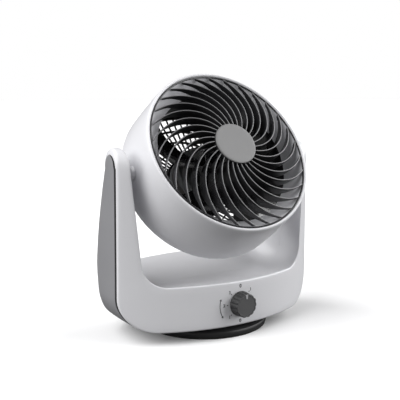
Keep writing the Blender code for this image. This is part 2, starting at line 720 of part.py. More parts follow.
def make_housing(head):
    """The white drum with its pivot bosses, the rear cover with its slots, and the duct round the blades."""
    rim = GRILLE_RADIUS + RIM_WIDTH
    seat = GRILLE_RADIUS + GAP + 0.0001
    arc = [DRUM_RADIUS - d for d in (0.001, 0.004, 0.0075)] + [REAR_COVER_RADIUS + GAP]
    outer = [
        (seat, depth(0.0015)),
        (seat + 0.0014, depth(-0.0003)),
        (rim - 0.0010, depth(0.0003)),
        (rim, depth(0.0020)),
        (lerp(rim, DRUM_RADIUS, 0.6), depth(0.040)),
        (DRUM_RADIUS, depth(DRUM_STRAIGHT)),
        *bowl_points(arc),
    ]
    inner_arc = [REAR_COVER_RADIUS + GAP] + [DRUM_RADIUS - WALL - d for d in (0.005, 0.0012)]
    inner = [
        *bowl_points(inner_arc, WALL),
        (DRUM_RADIUS - WALL, depth(DRUM_STRAIGHT)),
        (rim - WALL + 0.0004, depth(0.015)),
        (seat, depth(0.013)),
    ]
    drum = turned("drum_shell", outer + inner, WHITE, head, segments=48)
    for side in (-1, 1):
        label = "left" if side < 0 else "right"
        boss = rod(f"join_boss_{label}", BOSS_RADIUS, DRUM_RADIUS - 0.008, BOSS_END_X, None, head, 24)
        aim(boss, (0, 0, 0), (side, 0, 0))
        boolean(drum, boss, "UNION")
        hole = rod(f"cut_pin_{label}", PIN_RADIUS + GAP, 0.127, BOSS_END_X + 0.002, None, head, 20)
        aim(hole, (0, 0, 0), (side, 0, 0))
        boolean(drum, hole)
        pin = rod(f"trunnion_pin_{label}", PIN_RADIUS, 0.127 + GAP, PIN_END_X, STEEL, head, 20)
        aim(pin, (0, 0, 0), (side, 0, 0))
        low = BOSS_END_X + GAP
        washer = rod(f"tilt_washer_{label}", BOSS_RADIUS, low, low + 0.0014, NYLON, None, 24, PIN_RADIUS + GAP)
        aim(washer, (0, PIVOT_Y, PIVOT_Z), (side, 0, 0))
        low += 0.0014 + GAP
        bush = rod(f"tilt_bush_{label}", BUSH_RADIUS - GAP, low, low + 0.007, NYLON, None, 24, PIN_RADIUS + GAP)
        aim(bush, (0, PIVOT_Y, PIVOT_Z), (side, 0, 0))
    duct = [
        (0.1065, depth(0.0246)),
        (0.1065, depth(DRUM_STRAIGHT - 0.002)),
        (DRUM_RADIUS - WALL - 0.0006, depth(DRUM_STRAIGHT - 0.002)),
        (DRUM_RADIUS - WALL - 0.0006, depth(DRUM_STRAIGHT)),
        (0.1042, depth(DRUM_STRAIGHT)),
        (0.1042, depth(0.0246)),
    ]
    turned("air_duct", duct, BLACK, head, segments=36)
    make_rear_cover(head)


def make_rear_cover(head):
    """The slotted cover that closes the back of the head."""
    outer_radii = (0.105, 0.090, BACK_FLAT_RADIUS)
    inner_radii = (BACK_FLAT_RADIUS, 0.090, 0.105)
    profile = [
        *bowl_points((REAR_COVER_RADIUS, *outer_radii)),
        (0.0, depth(DRUM_STRAIGHT + BOWL_DEPTH)),
        (0.0, depth(DRUM_STRAIGHT + BOWL_DEPTH - WALL)),
        *bowl_points((*inner_radii, REAR_COVER_RADIUS), WALL),
    ]
    middle = len(outer_radii) + 2
    profile = profile[middle:] + profile[:middle]
    cover = turned("rear_cover", profile, CHARCOAL, head, segments=REAR_SLOT_COUNT * 2)
    shape = bmesh.new()
    low, high = depth(DRUM_STRAIGHT + BOWL_DEPTH + 0.004), depth(DRUM_STRAIGHT + 0.015)
    for near, far in ((0.050, 0.063), (0.0695, 0.0865), (0.0925, 0.1085)):
        for step in range(REAR_SLOT_COUNT):
            turn = Matrix.Rotation(2 * math.pi * (step + 0.5) / REAR_SLOT_COUNT, 4, "Z")
            half_near = near * math.tan(math.pi / REAR_SLOT_COUNT) * 0.66
            half_far = far * math.tan(math.pi / REAR_SLOT_COUNT) * 0.66
            corners = [(near, -half_near), (far, -half_far), (far, half_far), (near, half_near)]
            sections = [[turn @ Vector((x, y, z)) for x, y in corners] for z in (low, high)]
            add_loft(shape, sections)
    bmesh.ops.recalc_face_normals(shape, faces=shape.faces)
    mesh = bpy.data.meshes.new("cut_rear_slots")
    shape.to_mesh(mesh)
    shape.free()
    boolean(cover, add_object("cut_rear_slots", mesh, None, head))


def spiral(radius):
    """The angle that a vane has swept by a radius."""
    run = (radius - HUB_RADIUS) * 1000
    return math.radians(0.385 * run + 0.0023 * run**2)


def vane_front(radius):
    """How far behind the rim a vane's front edge lies at a radius: negative is in front."""
    share = (radius - HUB_RADIUS) / (GRILLE_RADIUS - HUB_RADIUS)
    return 0.0008 - (GRILLE_DOME - 0.0016) * (1 - max(0.0, share) ** 2)


def vane_sections(turn):
    """The sections of one vane, from inside the hub out into the frame's cone."""
    sections = []
    for step in range(7):
        share = step / 6
        row = []
        for end, drop in ((GRILLE_RADIUS - 0.0014, 0.0), (GRILLE_RADIUS - 0.0074, VANE_DEPTH)):
            radius = lerp(HUB_RADIUS - 0.002, end, share)
            angle = turn + spiral(max(radius, HUB_RADIUS - 0.002))
            ahead = turn + spiral(radius + 0.001)
            z = depth(vane_front(radius) + drop)
            place = Vector((radius * math.cos(angle), radius * math.sin(angle), z))
            reach = radius + 0.001
            along = Vector((reach * math.cos(ahead), reach * math.sin(ahead), z)) - place
            across = Vector((-along.y, along.x, 0)).normalized() * (VANE_THICKNESS / 2)
            row.append((place + across, place - across))
        (front_a, front_b), (back_a, back_b) = row
        sections.append([front_a, back_a, back_b, front_b])
    return sections


def make_front_grille(head):
    """The charcoal grille: a conical frame, spiral vanes and the hub behind the disc."""
    outer = GRILLE_RADIUS - 0.0001
    frame = [
        (outer - 0.0018, depth(0.0004)),
        (outer, depth(0.0010)),
        (outer, depth(0.010)),
        (GRILLE_RADIUS - 0.0035, depth(0.010)),
        (0.1075, depth(0.0240)),
        (0.1050, depth(0.0240)),
    ]
    grille = turned("front_grille", frame, CHARCOAL, head, segments=48)
    vanes = [vane_sections(VANE_START + 2 * math.pi * n / VANE_COUNT) for n in range(VANE_COUNT)]
    boolean(grille, add_object("join_vanes", loft_mesh("join_vanes", vanes), None, head), "UNION")
    hub = rod(
        "join_hub", HUB_RADIUS + 0.0008, depth(0.002), depth(-GRILLE_DOME + 0.0016 + GAP), None, head, 30
    )
    boolean(grille, hub, "UNION")
    disc = [
        (0.0, depth(-GRILLE_DOME)),
        (HUB_RADIUS - 0.004, depth(-GRILLE_DOME + 0.0002)),
        (HUB_RADIUS, depth(-GRILLE_DOME + 0.0008)),
        (HUB_RADIUS, depth(-GRILLE_DOME + 0.0016)),
        (0.0, depth(-GRILLE_DOME + 0.0016)),
    ]
    turned("hub_disc", disc, HUB_GREY, head, segments=36)


def blade_sections(turn):
    """The sections of one blade, from inside its hub to its tip."""
    sections = []
    for step in range(5):
        share = step / 4
        radius = lerp(0.024, BLADE_RADIUS, share)
        width = math.radians(lerp(46, 44, share))
        sweep = math.radians(-26) * share**1.5
        front, back = lerp(0.034, 0.030, share), lerp(0.054, 0.068, share)
        upper, lower = [], []
        for across in range(5):
            along = across / 4
            angle = turn + sweep + width * (0.5 - along)
            camber = 0.004 * math.sin(math.pi * along)
            z = depth(lerp(front, back, along) + camber)
            place = Vector((radius * math.cos(angle), radius * math.sin(angle), z))
            upper.append(place + Vector((0, 0, 0.0009)))
            lower.append(place - Vector((0, 0, 0.0009)))
        sections.append(upper + lower[::-1])
    return sections


def make_fan(head):
    """The blades, their nut, the shaft and the rotor core, which spin together."""
    hub = [
        (SHAFT_RADIUS + GAP, depth(0.0260)),
        (0.017, depth(0.0262)),
        (0.024, depth(0.0300)),
        (0.026, depth(0.0360)),
        (0.026, depth(0.0600)),
        (0.0235, depth(0.0600)),
        (0.0235, depth(0.0330)),
        (0.0150, depth(0.0292)),
        (SHAFT_RADIUS + GAP, depth(0.0290)),
    ]
    fan = turned("fan_blade", hub, BLACK, head, segments=30)
    blades = [blade_sections(BLADE_START + 2 * math.pi * n / BLADE_COUNT) for n in range(BLADE_COUNT)]
    boolean(fan, add_object("join_blades", loft_mesh("join_blades", blades), None, head), "UNION")
    rod("motor_shaft", SHAFT_RADIUS, depth(0.112), depth(0.0225), STEEL, head, 16)
    nut = [
        (0.0, depth(0.0195)),
        (0.006, depth(0.0195)),
        (0.008, depth(0.0215)),
        (0.008, depth(0.0257)),
        (SHAFT_RADIUS + GAP, depth(0.0257)),
        (SHAFT_RADIUS + GAP, depth(0.0222)),
        (0.0, depth(0.0222)),
    ]
    turned("blade_nut", nut, BLACK, head, segments=12)
    rod("rotor_core", 0.0190, depth(0.0965), depth(0.0845), STEEL, head, 24, SHAFT_RADIUS + GAP)


def make_motor(head):
    """The motor: two end bells round the stator, two bearings, and the bracket that holds it."""
    bore, outer = 0.0094, MOTOR_RADIUS
    inside = outer - 0.0025
    front = [
        (bore, depth(0.070)),
        (outer - 0.004, depth(0.070)),
        (outer, depth(0.073)),
        (outer, depth(0.0838)),
        (inside, depth(0.0838)),
        (inside, depth(0.0745)),
        (bore, depth(0.0745)),
    ]
    turned("motor_front_bell", front, ZINC, head, segments=24)
    rod("stator_core", outer, depth(0.0968), depth(0.0842), STEEL, head, 24, 0.0196)
    rear = [
        (inside, depth(0.0972)),
        (outer, depth(0.0972)),
        (outer, depth(0.1150)),
        (outer - 0.004, depth(0.1180)),
        (0.0, depth(0.1180)),
        (0.0, depth(0.1130)),
        (bore, depth(0.1130)),
        (bore, depth(0.1070)),
        (inside, depth(0.1070)),
    ]
    turned("motor_rear_bell", rear[4:5] and [rear[5], *rear[6:], *rear[:5]], ZINC, head, segments=24)
    bearing = bore - GAP
    rod("front_bearing", bearing, depth(0.0742), depth(0.0703), BRONZE, head, 20, SHAFT_RADIUS + GAP)
    rod("rear_bearing", bearing, depth(0.1126), depth(0.1073), BRONZE, head, 20, SHAFT_RADIUS + GAP)
    plate = DRUM_STRAIGHT + BOWL_DEPTH - WALL - GAP
    bracket = [
        (outer + 0.0028, depth(0.1060)),
        (outer + 0.0028, depth(plate)),
        (0.010, depth(plate)),
        (0.010, depth(0.1184)),
        (outer + GAP, depth(0.1184)),
        (outer + GAP, depth(0.1060)),
    ]
    turned("motor_bracket", bracket, BLACK, head, segments=24)


def build():
    """Makes every part of the air circulator."""
    make_foot()
    make_yoke()
    make_drive()
    head = make_head_frame()
    make_housing(head)
    make_front_grille(head)
    make_fan(head)
    make_motor(head)


build()
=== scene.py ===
"""The air circulator's visual model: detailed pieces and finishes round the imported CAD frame.

Everything is in metres, in the frame's own axes: +Z up, the front faces -Y, the origin on the floor
under the swivel axis. Pieces of the head are drawn in the head's own axes, +Z out of the grille and
+Y up its face, and are then turned into place.
"""

import logging
import math
from dataclasses import dataclass, field
from enum import Enum
from typing import Callable, ClassVar, Iterable, Sequence

import bmesh
import bpy
from mathutils import Matrix, Vector

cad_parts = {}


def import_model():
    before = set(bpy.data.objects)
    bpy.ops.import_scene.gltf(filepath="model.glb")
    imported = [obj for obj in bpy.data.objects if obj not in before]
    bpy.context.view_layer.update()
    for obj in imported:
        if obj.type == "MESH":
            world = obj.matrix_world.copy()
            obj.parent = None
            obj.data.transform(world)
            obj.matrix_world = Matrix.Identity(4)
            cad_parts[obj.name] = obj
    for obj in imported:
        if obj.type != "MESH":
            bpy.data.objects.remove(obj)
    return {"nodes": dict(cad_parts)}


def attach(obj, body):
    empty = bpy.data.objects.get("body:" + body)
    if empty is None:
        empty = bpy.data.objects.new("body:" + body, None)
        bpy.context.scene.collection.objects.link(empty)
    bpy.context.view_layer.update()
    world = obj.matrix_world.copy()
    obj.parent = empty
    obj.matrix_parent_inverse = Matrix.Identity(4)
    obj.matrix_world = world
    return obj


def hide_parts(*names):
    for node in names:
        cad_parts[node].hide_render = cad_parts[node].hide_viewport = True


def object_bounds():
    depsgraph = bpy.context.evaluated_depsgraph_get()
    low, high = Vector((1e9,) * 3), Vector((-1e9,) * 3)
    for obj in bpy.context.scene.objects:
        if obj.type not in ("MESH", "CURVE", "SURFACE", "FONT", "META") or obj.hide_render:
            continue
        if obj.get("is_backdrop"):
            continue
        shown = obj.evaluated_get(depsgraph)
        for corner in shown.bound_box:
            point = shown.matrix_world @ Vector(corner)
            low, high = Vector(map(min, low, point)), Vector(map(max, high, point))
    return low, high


LOG = logging.getLogger("air_circulator")
TURN = 2 * math.pi
UP = Matrix.Identity(4)
MERGE_DISTANCE = 0.000004
TIP_LAST_ANGLE = math.radians(86.0)
PIVOT = (0.0, -0.022, 0.228)
KNOB_HEIGHT = 0.048


def lerp(a: float, b: float, share: float) -> float:
    """The value a share of the way from a to b."""
    return a + (b - a) * share


def smooth(share: float) -> float:
    """An even step from 0 to 1 with flat ends."""
    share = min(1.0, max(0.0, share))
    return share * share * (3 - 2 * share)


# --- Finishes -----------------------------------------------------------------------------------
class Grain(Enum):
    """What the fine relief of a surface looks like."""

    SPARK = "spark"
    TURNED = "turned"
    SHEETS = "sheets"
    CAST = "cast"


@dataclass(frozen=True)
class Finish:
    """One surface finish, built from nodes on Object coordinates.

    Attributes:
        name: Name of the material.
        colour: Base colour, linear.
        roughness: Middle roughness.
        metallic: 0 for plastic, 1 for bare metal.
        grain: Kind of fine relief.
        grain_size: Size of the relief in metres.
        relief: Strength of the relief.
        variation: How much the colour drifts over the surface.
        coat: Clear coat weight.
        specular: Specular level.
    """

    name: str
    colour: tuple[float, float, float]
    roughness: float = 0.45
    metallic: float = 0.0
    grain: Grain = Grain.SPARK
    grain_size: float = 0.0006
    relief: float = 0.05
    variation: float = 0.03
    coat: float = 0.0
    specular: float = 0.5

    def material(self) -> bpy.types.Material:
        """Returns the material, making it the first time.

        Returns:
            The material.
        """
        made = bpy.data.materials.get(self.name)
        if made is None:
            made = bpy.data.materials.new(self.name)
            made.use_nodes = True
            self._wire(made.node_tree)
        return made

    def _wire(self, tree: bpy.types.NodeTree) -> None:
        """Builds the nodes.

        Args:
            tree: The material's node tree.
        """
        nodes, links = tree.nodes, tree.links
        shader = nodes["Principled BSDF"]
        shader.inputs["Metallic"].default_value = self.metallic
        shader.inputs["Coat Weight"].default_value = self.coat
        shader.inputs["Coat Roughness"].default_value = 0.12
        shader.inputs["Specular IOR Level"].default_value = self.specular
        place = nodes.new("ShaderNodeTexCoord")
        patches = nodes.new("ShaderNodeTexNoise")
        patches.inputs["Scale"].default_value = 14.0
        patches.inputs["Detail"].default_value = 3.0
        links.new(place.outputs["Object"], patches.inputs["Vector"])
        ramp = nodes.new("ShaderNodeValToRGB")
        low = tuple(c * (1 - self.variation) for c in self.colour)
        high = tuple(min(1.0, c * (1 + self.variation)) for c in self.colour)
        ramp.color_ramp.elements[0].position = 0.3
        ramp.color_ramp.elements[1].position = 0.7
        ramp.color_ramp.elements[0].color = (*low, 1.0)
        ramp.color_ramp.elements[1].color = (*high, 1.0)
        links.new(patches.outputs["Fac"], ramp.inputs["Fac"])
        links.new(ramp.outputs["Color"], shader.inputs["Base Color"])
        gloss = nodes.new("ShaderNodeMapRange")
        gloss.inputs["To Min"].default_value = max(0.02, self.roughness * 0.88)
        gloss.inputs["To Max"].default_value = min(1.0, self.roughness * 1.12)
        links.new(patches.outputs["Fac"], gloss.inputs["Value"])
        links.new(gloss.outputs["Result"], shader.inputs["Roughness"])
        bump = nodes.new("ShaderNodeBump")
        bump.inputs["Strength"].default_value = self.relief
        bump.inputs["Distance"].default_value = self.grain_size
        links.new(self._grain(tree, place.outputs["Object"]), bump.inputs["Height"])
        links.new(bump.outputs["Normal"], shader.inputs["Normal"])

    def _grain(self, tree: bpy.types.NodeTree, coords: bpy.types.NodeSocket) -> bpy.types.NodeSocket:
        """Adds the relief's texture.

        Args:
            tree: The material's node tree.
            coords: The coordinates that it reads.

        Returns:
            The height output.
        """
        nodes, links = tree.nodes, tree.links
        if self.grain in (Grain.SPARK, Grain.CAST):
            texture = nodes.new("ShaderNodeTexNoise")
            texture.inputs["Scale"].default_value = 1.0 / self.grain_size
            texture.inputs["Detail"].default_value = 2.0 if self.grain is Grain.SPARK else 6.0
            links.new(coords, texture.inputs["Vector"])
            return texture.outputs["Fac"]
        texture = nodes.new("ShaderNodeTexWave")
        texture.wave_type = "RINGS" if self.grain is Grain.TURNED else "BANDS"
        texture.bands_direction = "DIAGONAL"
        texture.rings_direction = "Z"
        texture.inputs["Scale"].default_value = 0.3 / self.grain_size
        texture.inputs["Distortion"].default_value = 0.4
        links.new(coords, texture.inputs["Vector"])
        return texture.outputs["Fac"]


WHITE = Finish(
    "satin_white_plastic", (0.72, 0.72, 0.745), 0.34, relief=0.05, variation=0.012, coat=0.25
)
SILVER = Finish("silver_lacquer", (0.43, 0.43, 0.45), 0.30, metallic=0.55, relief=0.08, coat=0.2)
CHARCOAL = Finish(
    "charcoal_plastic", (0.022, 0.022, 0.024), 0.28, relief=0.05, variation=0.08, coat=0.2
)
# Pale grey for the vanes' forward-facing edges: a painted highlight where the edges catch the light.
VANE_EDGE_HIGHLIGHT = Finish("vane_edge_painted_highlight", (0.15, 0.15, 0.155), 0.28, relief=0.02)
# Grey of the cone inside the grille, raised to a pale grey: partly the cone's own grey, partly a painted
# reflection of the lights that also lifts it out of the vanes' shade.
CONE_GREY_AND_SHEEN = Finish(
    "grey_cone_with_painted_reflection", (0.66, 0.66, 0.69), 0.25, relief=0.03, variation=0.06, coat=0.4
)
HUB_GREY = Finish("textured_hub_grey", (0.18, 0.18, 0.182), 0.5, relief=0.25, grain_size=0.0008)
BLACK_GLOSS = Finish(
    "black_gloss_blade", (0.014, 0.014, 0.015), 0.12, relief=0.02, coat=1.0, specular=1.0
)
BLACK_SATIN = Finish(
    "black_satin_plastic", (0.020, 0.020, 0.021), 0.38, relief=0.12, variation=0.08
)
DUCT_BLACK = Finish("black_duct_plastic", (0.016, 0.016, 0.017), 0.4, relief=0.12)
KNOB_GREY = Finish("knob_face_grey", (0.090, 0.090, 0.092), 0.42, relief=0.3, grain_size=0.0005)
# A darker copy of the knob's grey for its sides: painted shade against the lighter face.
KNOB_SIDE_SHADE = Finish("knob_side_painted_shade", (0.026, 0.026, 0.027), 0.5, relief=0.3, grain_size=0.0005)
POINTER_GREY = Finish("pointer_pale_grey", (0.38, 0.38, 0.39), 0.45, relief=0.05)
PRINT_GREY = Finish("dial_print_grey", (0.060, 0.060, 0.063), 0.55, relief=0.05)
# Black for the strip in the seam before each side cover: painted shade standing for the shadow in the
# gap.
SEAM_SHADE_BLACK = Finish("seam_painted_shade", (0.008, 0.008, 0.009), 0.6, relief=0.1)
RUBBER = Finish(
    "foot_pad_rubber", (0.018, 0.018, 0.018), 0.85, relief=0.4, grain_size=0.0012, specular=0.3
)
STEEL = Finish("zinc_plated_steel", (0.56, 0.56, 0.57), 0.3, 1.0, Grain.TURNED, 0.0005, 0.08)
LAMINATED = Finish(
    "varnished_laminations", (0.20, 0.19, 0.19), 0.45, 0.9, Grain.SHEETS, 0.0005, 0.5, 0.1
)
SHEET_STEEL = Finish(
    "galvanised_sheet", (0.50, 0.51, 0.52), 0.42, 0.9, Grain.CAST, 0.004, 0.05, 0.12
)
CAST_METAL = Finish(
    "cast_motor_case", (0.42, 0.43, 0.44), 0.5, 0.85, Grain.CAST, 0.0010, 0.25, 0.06
)
BALLAST = Finish("painted_ballast", (0.06, 0.06, 0.06), 0.6, 0.2, Grain.CAST, 0.0015, 0.3)
BRONZE = Finish("sintered_bronze", (0.45, 0.28, 0.12), 0.42, 1.0, Grain.CAST, 0.0004, 0.2)
NYLON = Finish("natural_nylon", (0.68, 0.66, 0.60), 0.5, relief=0.1)

CAD_FINISHES: dict[str, Finish] = {
    "anti_slip_pad": RUBBER,
    "ballast_plate": BALLAST,
    "swivel_post": STEEL,
    "thrust_ring": NYLON,
    "retaining_ring": STEEL,
    "oscillation_link": NYLON,
    "post_screw": STEEL,
    "base_plate": BLACK_SATIN,
    "oscillation_motor": CAST_METAL,
    "drive_bracket": SHEET_STEEL,
    "rotary_switch": NYLON,
    "tilt_bush_left": NYLON,
    "tilt_bush_right": NYLON,
    # Black satin tilt washers: partly their own dark plastic, partly painted shade standing for the gap
    # between arm and drum.
    "tilt_washer_left": BLACK_SATIN,
    "tilt_washer_right": BLACK_SATIN,
    "crank_disc": NYLON,
    "switch_shaft": STEEL,
    "motor_bracket": BLACK_SATIN,
    "motor_front_bell": CAST_METAL,
    "motor_rear_bell": CAST_METAL,
    "stator_core": LAMINATED,
    "front_bearing": BRONZE,
    "rear_bearing": BRONZE,
    "trunnion_pin_left": STEEL,
    "trunnion_pin_right": STEEL,
    "motor_shaft": STEEL,
    "rotor_core": LAMINATED,
}


# --- Mesh helpers -------------------------------------------------------------------------------
@dataclass
class Seat:
    """Where a piece belongs: its body, its record slot and the CAD nodes that it stands for."""

    body: str
    slot: str
    nodes: tuple[str, ...] = ()


def finish_object(
    name: str, shape: bmesh.types.BMesh, finishes: Sequence[Finish], seat: Seat, sharp: float = 32.0
) -> bpy.types.Object:
    """Turns a bmesh into a piece that rides on its body.

    Args:
        name: Name of the piece.
        shape: The mesh, in the row frame. It is freed.
        finishes: Finishes by material index.
        seat: Body, slot and replaced nodes.
        sharp: Edges over this angle, in degrees, stay crisp.

    Returns:
        The new object.
    """
    made = raw_object(name, shape, sharp)
    for finish in finishes:
        made.data.materials.append(finish.material())
    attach(made, seat.body)
    if seat.nodes:
        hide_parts(*seat.nodes)
    LOG.info("%s: %d faces on %s", name, len(made.data.polygons), seat.body)
    return made


def raw_object(name: str, shape: bmesh.types.BMesh, sharp: float = 32.0) -> bpy.types.Object:
    """Turns a bmesh into a plain object with smooth faces and crisp edges.

    Args:
        name: Name of the object.
        shape: The mesh. It is freed.
        sharp: Edges over this angle, in degrees, stay crisp.

    Returns:
        The new object.
    """
    limit = math.radians(sharp)
    for face in shape.faces:
        face.smooth = True
    for edge in shape.edges:
        edge.smooth = len(edge.link_faces) == 2 and edge.calc_face_angle(0.0) < limit
    mesh = bpy.data.meshes.new(name)
    shape.to_mesh(mesh)
    shape.free()
    made = bpy.data.objects.new(name, mesh)
    bpy.context.scene.collection.objects.link(made)
    return made


def combine(base: bpy.types.Object, others: Iterable[tuple[bpy.types.Object, str]]) -> bmesh.types.BMesh:
    """Applies booleans to a plain object and removes all that took part.

    Args:
        base: The object that is cut or joined.
        others: Pairs of an object and the operation that it does.

    Returns:
        The result as a bmesh.
    """
    used = [base]
    for other, operation in others:
        modifier = base.modifiers.new(operation.lower(), "BOOLEAN")
        modifier.operation = operation
        modifier.object = other
        modifier.solver = "EXACT"
        used.append(other)
    graph = bpy.context.evaluated_depsgraph_get()
    result = base.evaluated_get(graph)
    shape = bmesh.new()
    shape.from_mesh(result.to_mesh())
    result.to_mesh_clear()
    for old in used:
        mesh = old.data
        bpy.data.objects.remove(old, do_unlink=True)
        bpy.data.meshes.remove(mesh)
    return shape


def clean(shape: bmesh.types.BMesh) -> bmesh.types.BMesh:
    """Merges doubles and turns the faces outwards.

    Args:
        shape: The mesh.

    Returns:
        The same mesh.
    """
    bmesh.ops.remove_doubles(shape, verts=shape.verts, dist=MERGE_DISTANCE)
    bmesh.ops.recalc_face_normals(shape, faces=shape.faces)
    return shape


def soften(
    shape: bmesh.types.BMesh, width: float, segments: int = 2, angle: float = 35.0
) -> bmesh.types.BMesh:
    """Rounds every edge sharper than an angle.

    Args:
        shape: The mesh.
        width: Width of the round in metres.
        segments: Faces across the round.
        angle: Least angle, in degrees, that counts as sharp.

    Returns:
        The same mesh.
    """
    limit = math.radians(angle)
    edges = [e for e in shape.edges if len(e.link_faces) == 2 and e.calc_face_angle(0.0) > limit]
    bmesh.ops.bevel(
        shape,
        geom=edges,
        offset=width,
        segments=segments,
        profile=0.5,
        affect="EDGES",
        material=-1,
        clamp_overlap=True,
    )
    return shape


def turned(
    profile: Sequence[tuple[float, float]],
    steps: int = 96,
    place: Matrix = UP,
    round_edges: float = 0.0,
) -> bmesh.types.BMesh:
    """A profile of (radius, height) points spun about Z.

    Args:
        profile: The outline; it is closed unless both its ends are on the axis.
        steps: Faces round the axis.
        place: Where the shape goes.
        round_edges: Width of the round on sharp edges.

    Returns:
        The mesh.
    """
    shape = bmesh.new()
    points = [shape.verts.new((radius, 0.0, height)) for radius, height in profile]
    edges = [shape.edges.new(pair) for pair in zip(points, points[1:])]
    if profile[0][0] > 0 or profile[-1][0] > 0:
        edges.append(shape.edges.new((points[-1], points[0])))
    bmesh.ops.spin(
        shape,
        geom=points + edges,
        cent=(0, 0, 0),
        axis=(0, 0, 1),
        dvec=(0, 0, 0),
        angle=TURN,
        steps=steps,
        use_merge=True,
        use_normal_flip=False,
        use_duplicate=False,
    )
    clean(shape)
    if round_edges:
        soften(shape, round_edges)
    bmesh.ops.transform(shape, matrix=place, verts=shape.verts)
    return shape


def rod(radius: float, low: float, high: float, place: Matrix, steps: int = 48) -> bmesh.types.BMesh:
    """A round bar along Z from low to high, turned into place."""
    return turned([(0.0, high), (radius, high), (radius, low), (0.0, low)], steps, place)


def box(low: Vector, high: Vector) -> bmesh.types.BMesh:
    """A box between two corners.

    Args:
        low: The lower corner.
        high: The upper corner.

    Returns:
        The mesh.
    """
    shape = bmesh.new()
    bmesh.ops.create_cube(shape, size=1.0)
    bmesh.ops.scale(shape, vec=high - low, verts=shape.verts)
    bmesh.ops.translate(shape, vec=(low + high) / 2, verts=shape.verts)
    return shape


def bridged(rings: Sequence[Sequence[Vector]]) -> bmesh.types.BMesh:
    """A closed skin bridged over rings of points, with both ends filled.

    Args:
        rings: Rings of points, with equal counts.

    Returns:
        The mesh, its normals pointing outwards.
    """
    shape = bmesh.new()
    loops = []
    for ring in rings:
        points = [shape.verts.new(p) for p in ring]
        pairs = zip(points, points[1:] + points[:1])
        loops.append([shape.edges.new(pair) for pair in pairs])
    for near, far in zip(loops, loops[1:]):
        bmesh.ops.bridge_loops(shape, edges=near + far)
    for end in (loops[0], loops[-1]):
        bmesh.ops.edgenet_fill(shape, edges=end)
    bmesh.ops.recalc_face_normals(shape, faces=shape.faces)
    return shape


def sheet(
    columns: int, rows: int, place: Callable[[float, float], Vector], thickness: float
) -> bmesh.types.BMesh:
    """A grid laid on a surface and thickened to both sides.

    Args:
        columns: Faces along the first direction.
        rows: Faces along the second.
        place: Gives a point for two shares from 0 to 1.
        thickness: Thickness in metres.

    Returns:
        The mesh, its normals pointing outwards.
    """
    shape = bmesh.new()
    bmesh.ops.create_grid(shape, x_segments=columns, y_segments=rows, size=0.5)
    for vert in shape.verts:
        vert.co = place(vert.co.x + 0.5, vert.co.y + 0.5)
    bmesh.ops.recalc_face_normals(shape, faces=shape.faces)
    shape.normal_update()
    for vert in shape.verts:
        vert.co -= vert.normal * thickness / 2
    bmesh.ops.solidify(shape, geom=shape.faces[:], thickness=-thickness)
    return clean(shape)


def repeat(shape: bmesh.types.BMesh, count: int) -> bmesh.types.BMesh:
    """Copies a shape evenly about Z, in place.

    Args:
        shape: The mesh to copy.
        count: How many there are in all.

    Returns:
        The same mesh.
    """
    start = shape.verts[:] + shape.edges[:] + shape.faces[:]
    for number in range(1, count):
        copied = bmesh.ops.duplicate(shape, geom=start)["geom"]
        verts = [g for g in copied if isinstance(g, bmesh.types.BMVert)]
        turn = Matrix.Rotation(TURN * number / count, 3, "Z")
        bmesh.ops.rotate(shape, cent=(0, 0, 0), matrix=turn, verts=verts)
    return shape


def to_side(shape: bmesh.types.BMesh, side: int) -> bmesh.types.BMesh:
    """Keeps a left shape, or mirrors it for side 1, with its faces outwards.

    Args:
        shape: A shape drawn on the left.
        side: -1 for left and 1 for right.

    Returns:
        The same mesh.
    """
    if side > 0:
        bmesh.ops.scale(shape, vec=(-1, 1, 1), verts=shape.verts)
        bmesh.ops.reverse_faces(shape, faces=shape.faces)
    return shape


def merge(target: bmesh.types.BMesh, extra: bmesh.types.BMesh) -> None:
    """Adds one mesh to another and frees it.

    Args:
        target: The mesh that grows.
        extra: The mesh that is added.
    """
    mesh = bpy.data.meshes.new("part")
    extra.to_mesh(mesh)
    extra.free()
    target.from_mesh(mesh)
    bpy.data.meshes.remove(mesh)


def aimed(start: Sequence[float], direction: Sequence[float]) -> Matrix:
    """The matrix that puts +Z along a direction from a point."""
    turn = Vector(direction).to_track_quat("Z", "Y").to_matrix().to_4x4()
    return Matrix.Translation(Vector(start)) @ turn


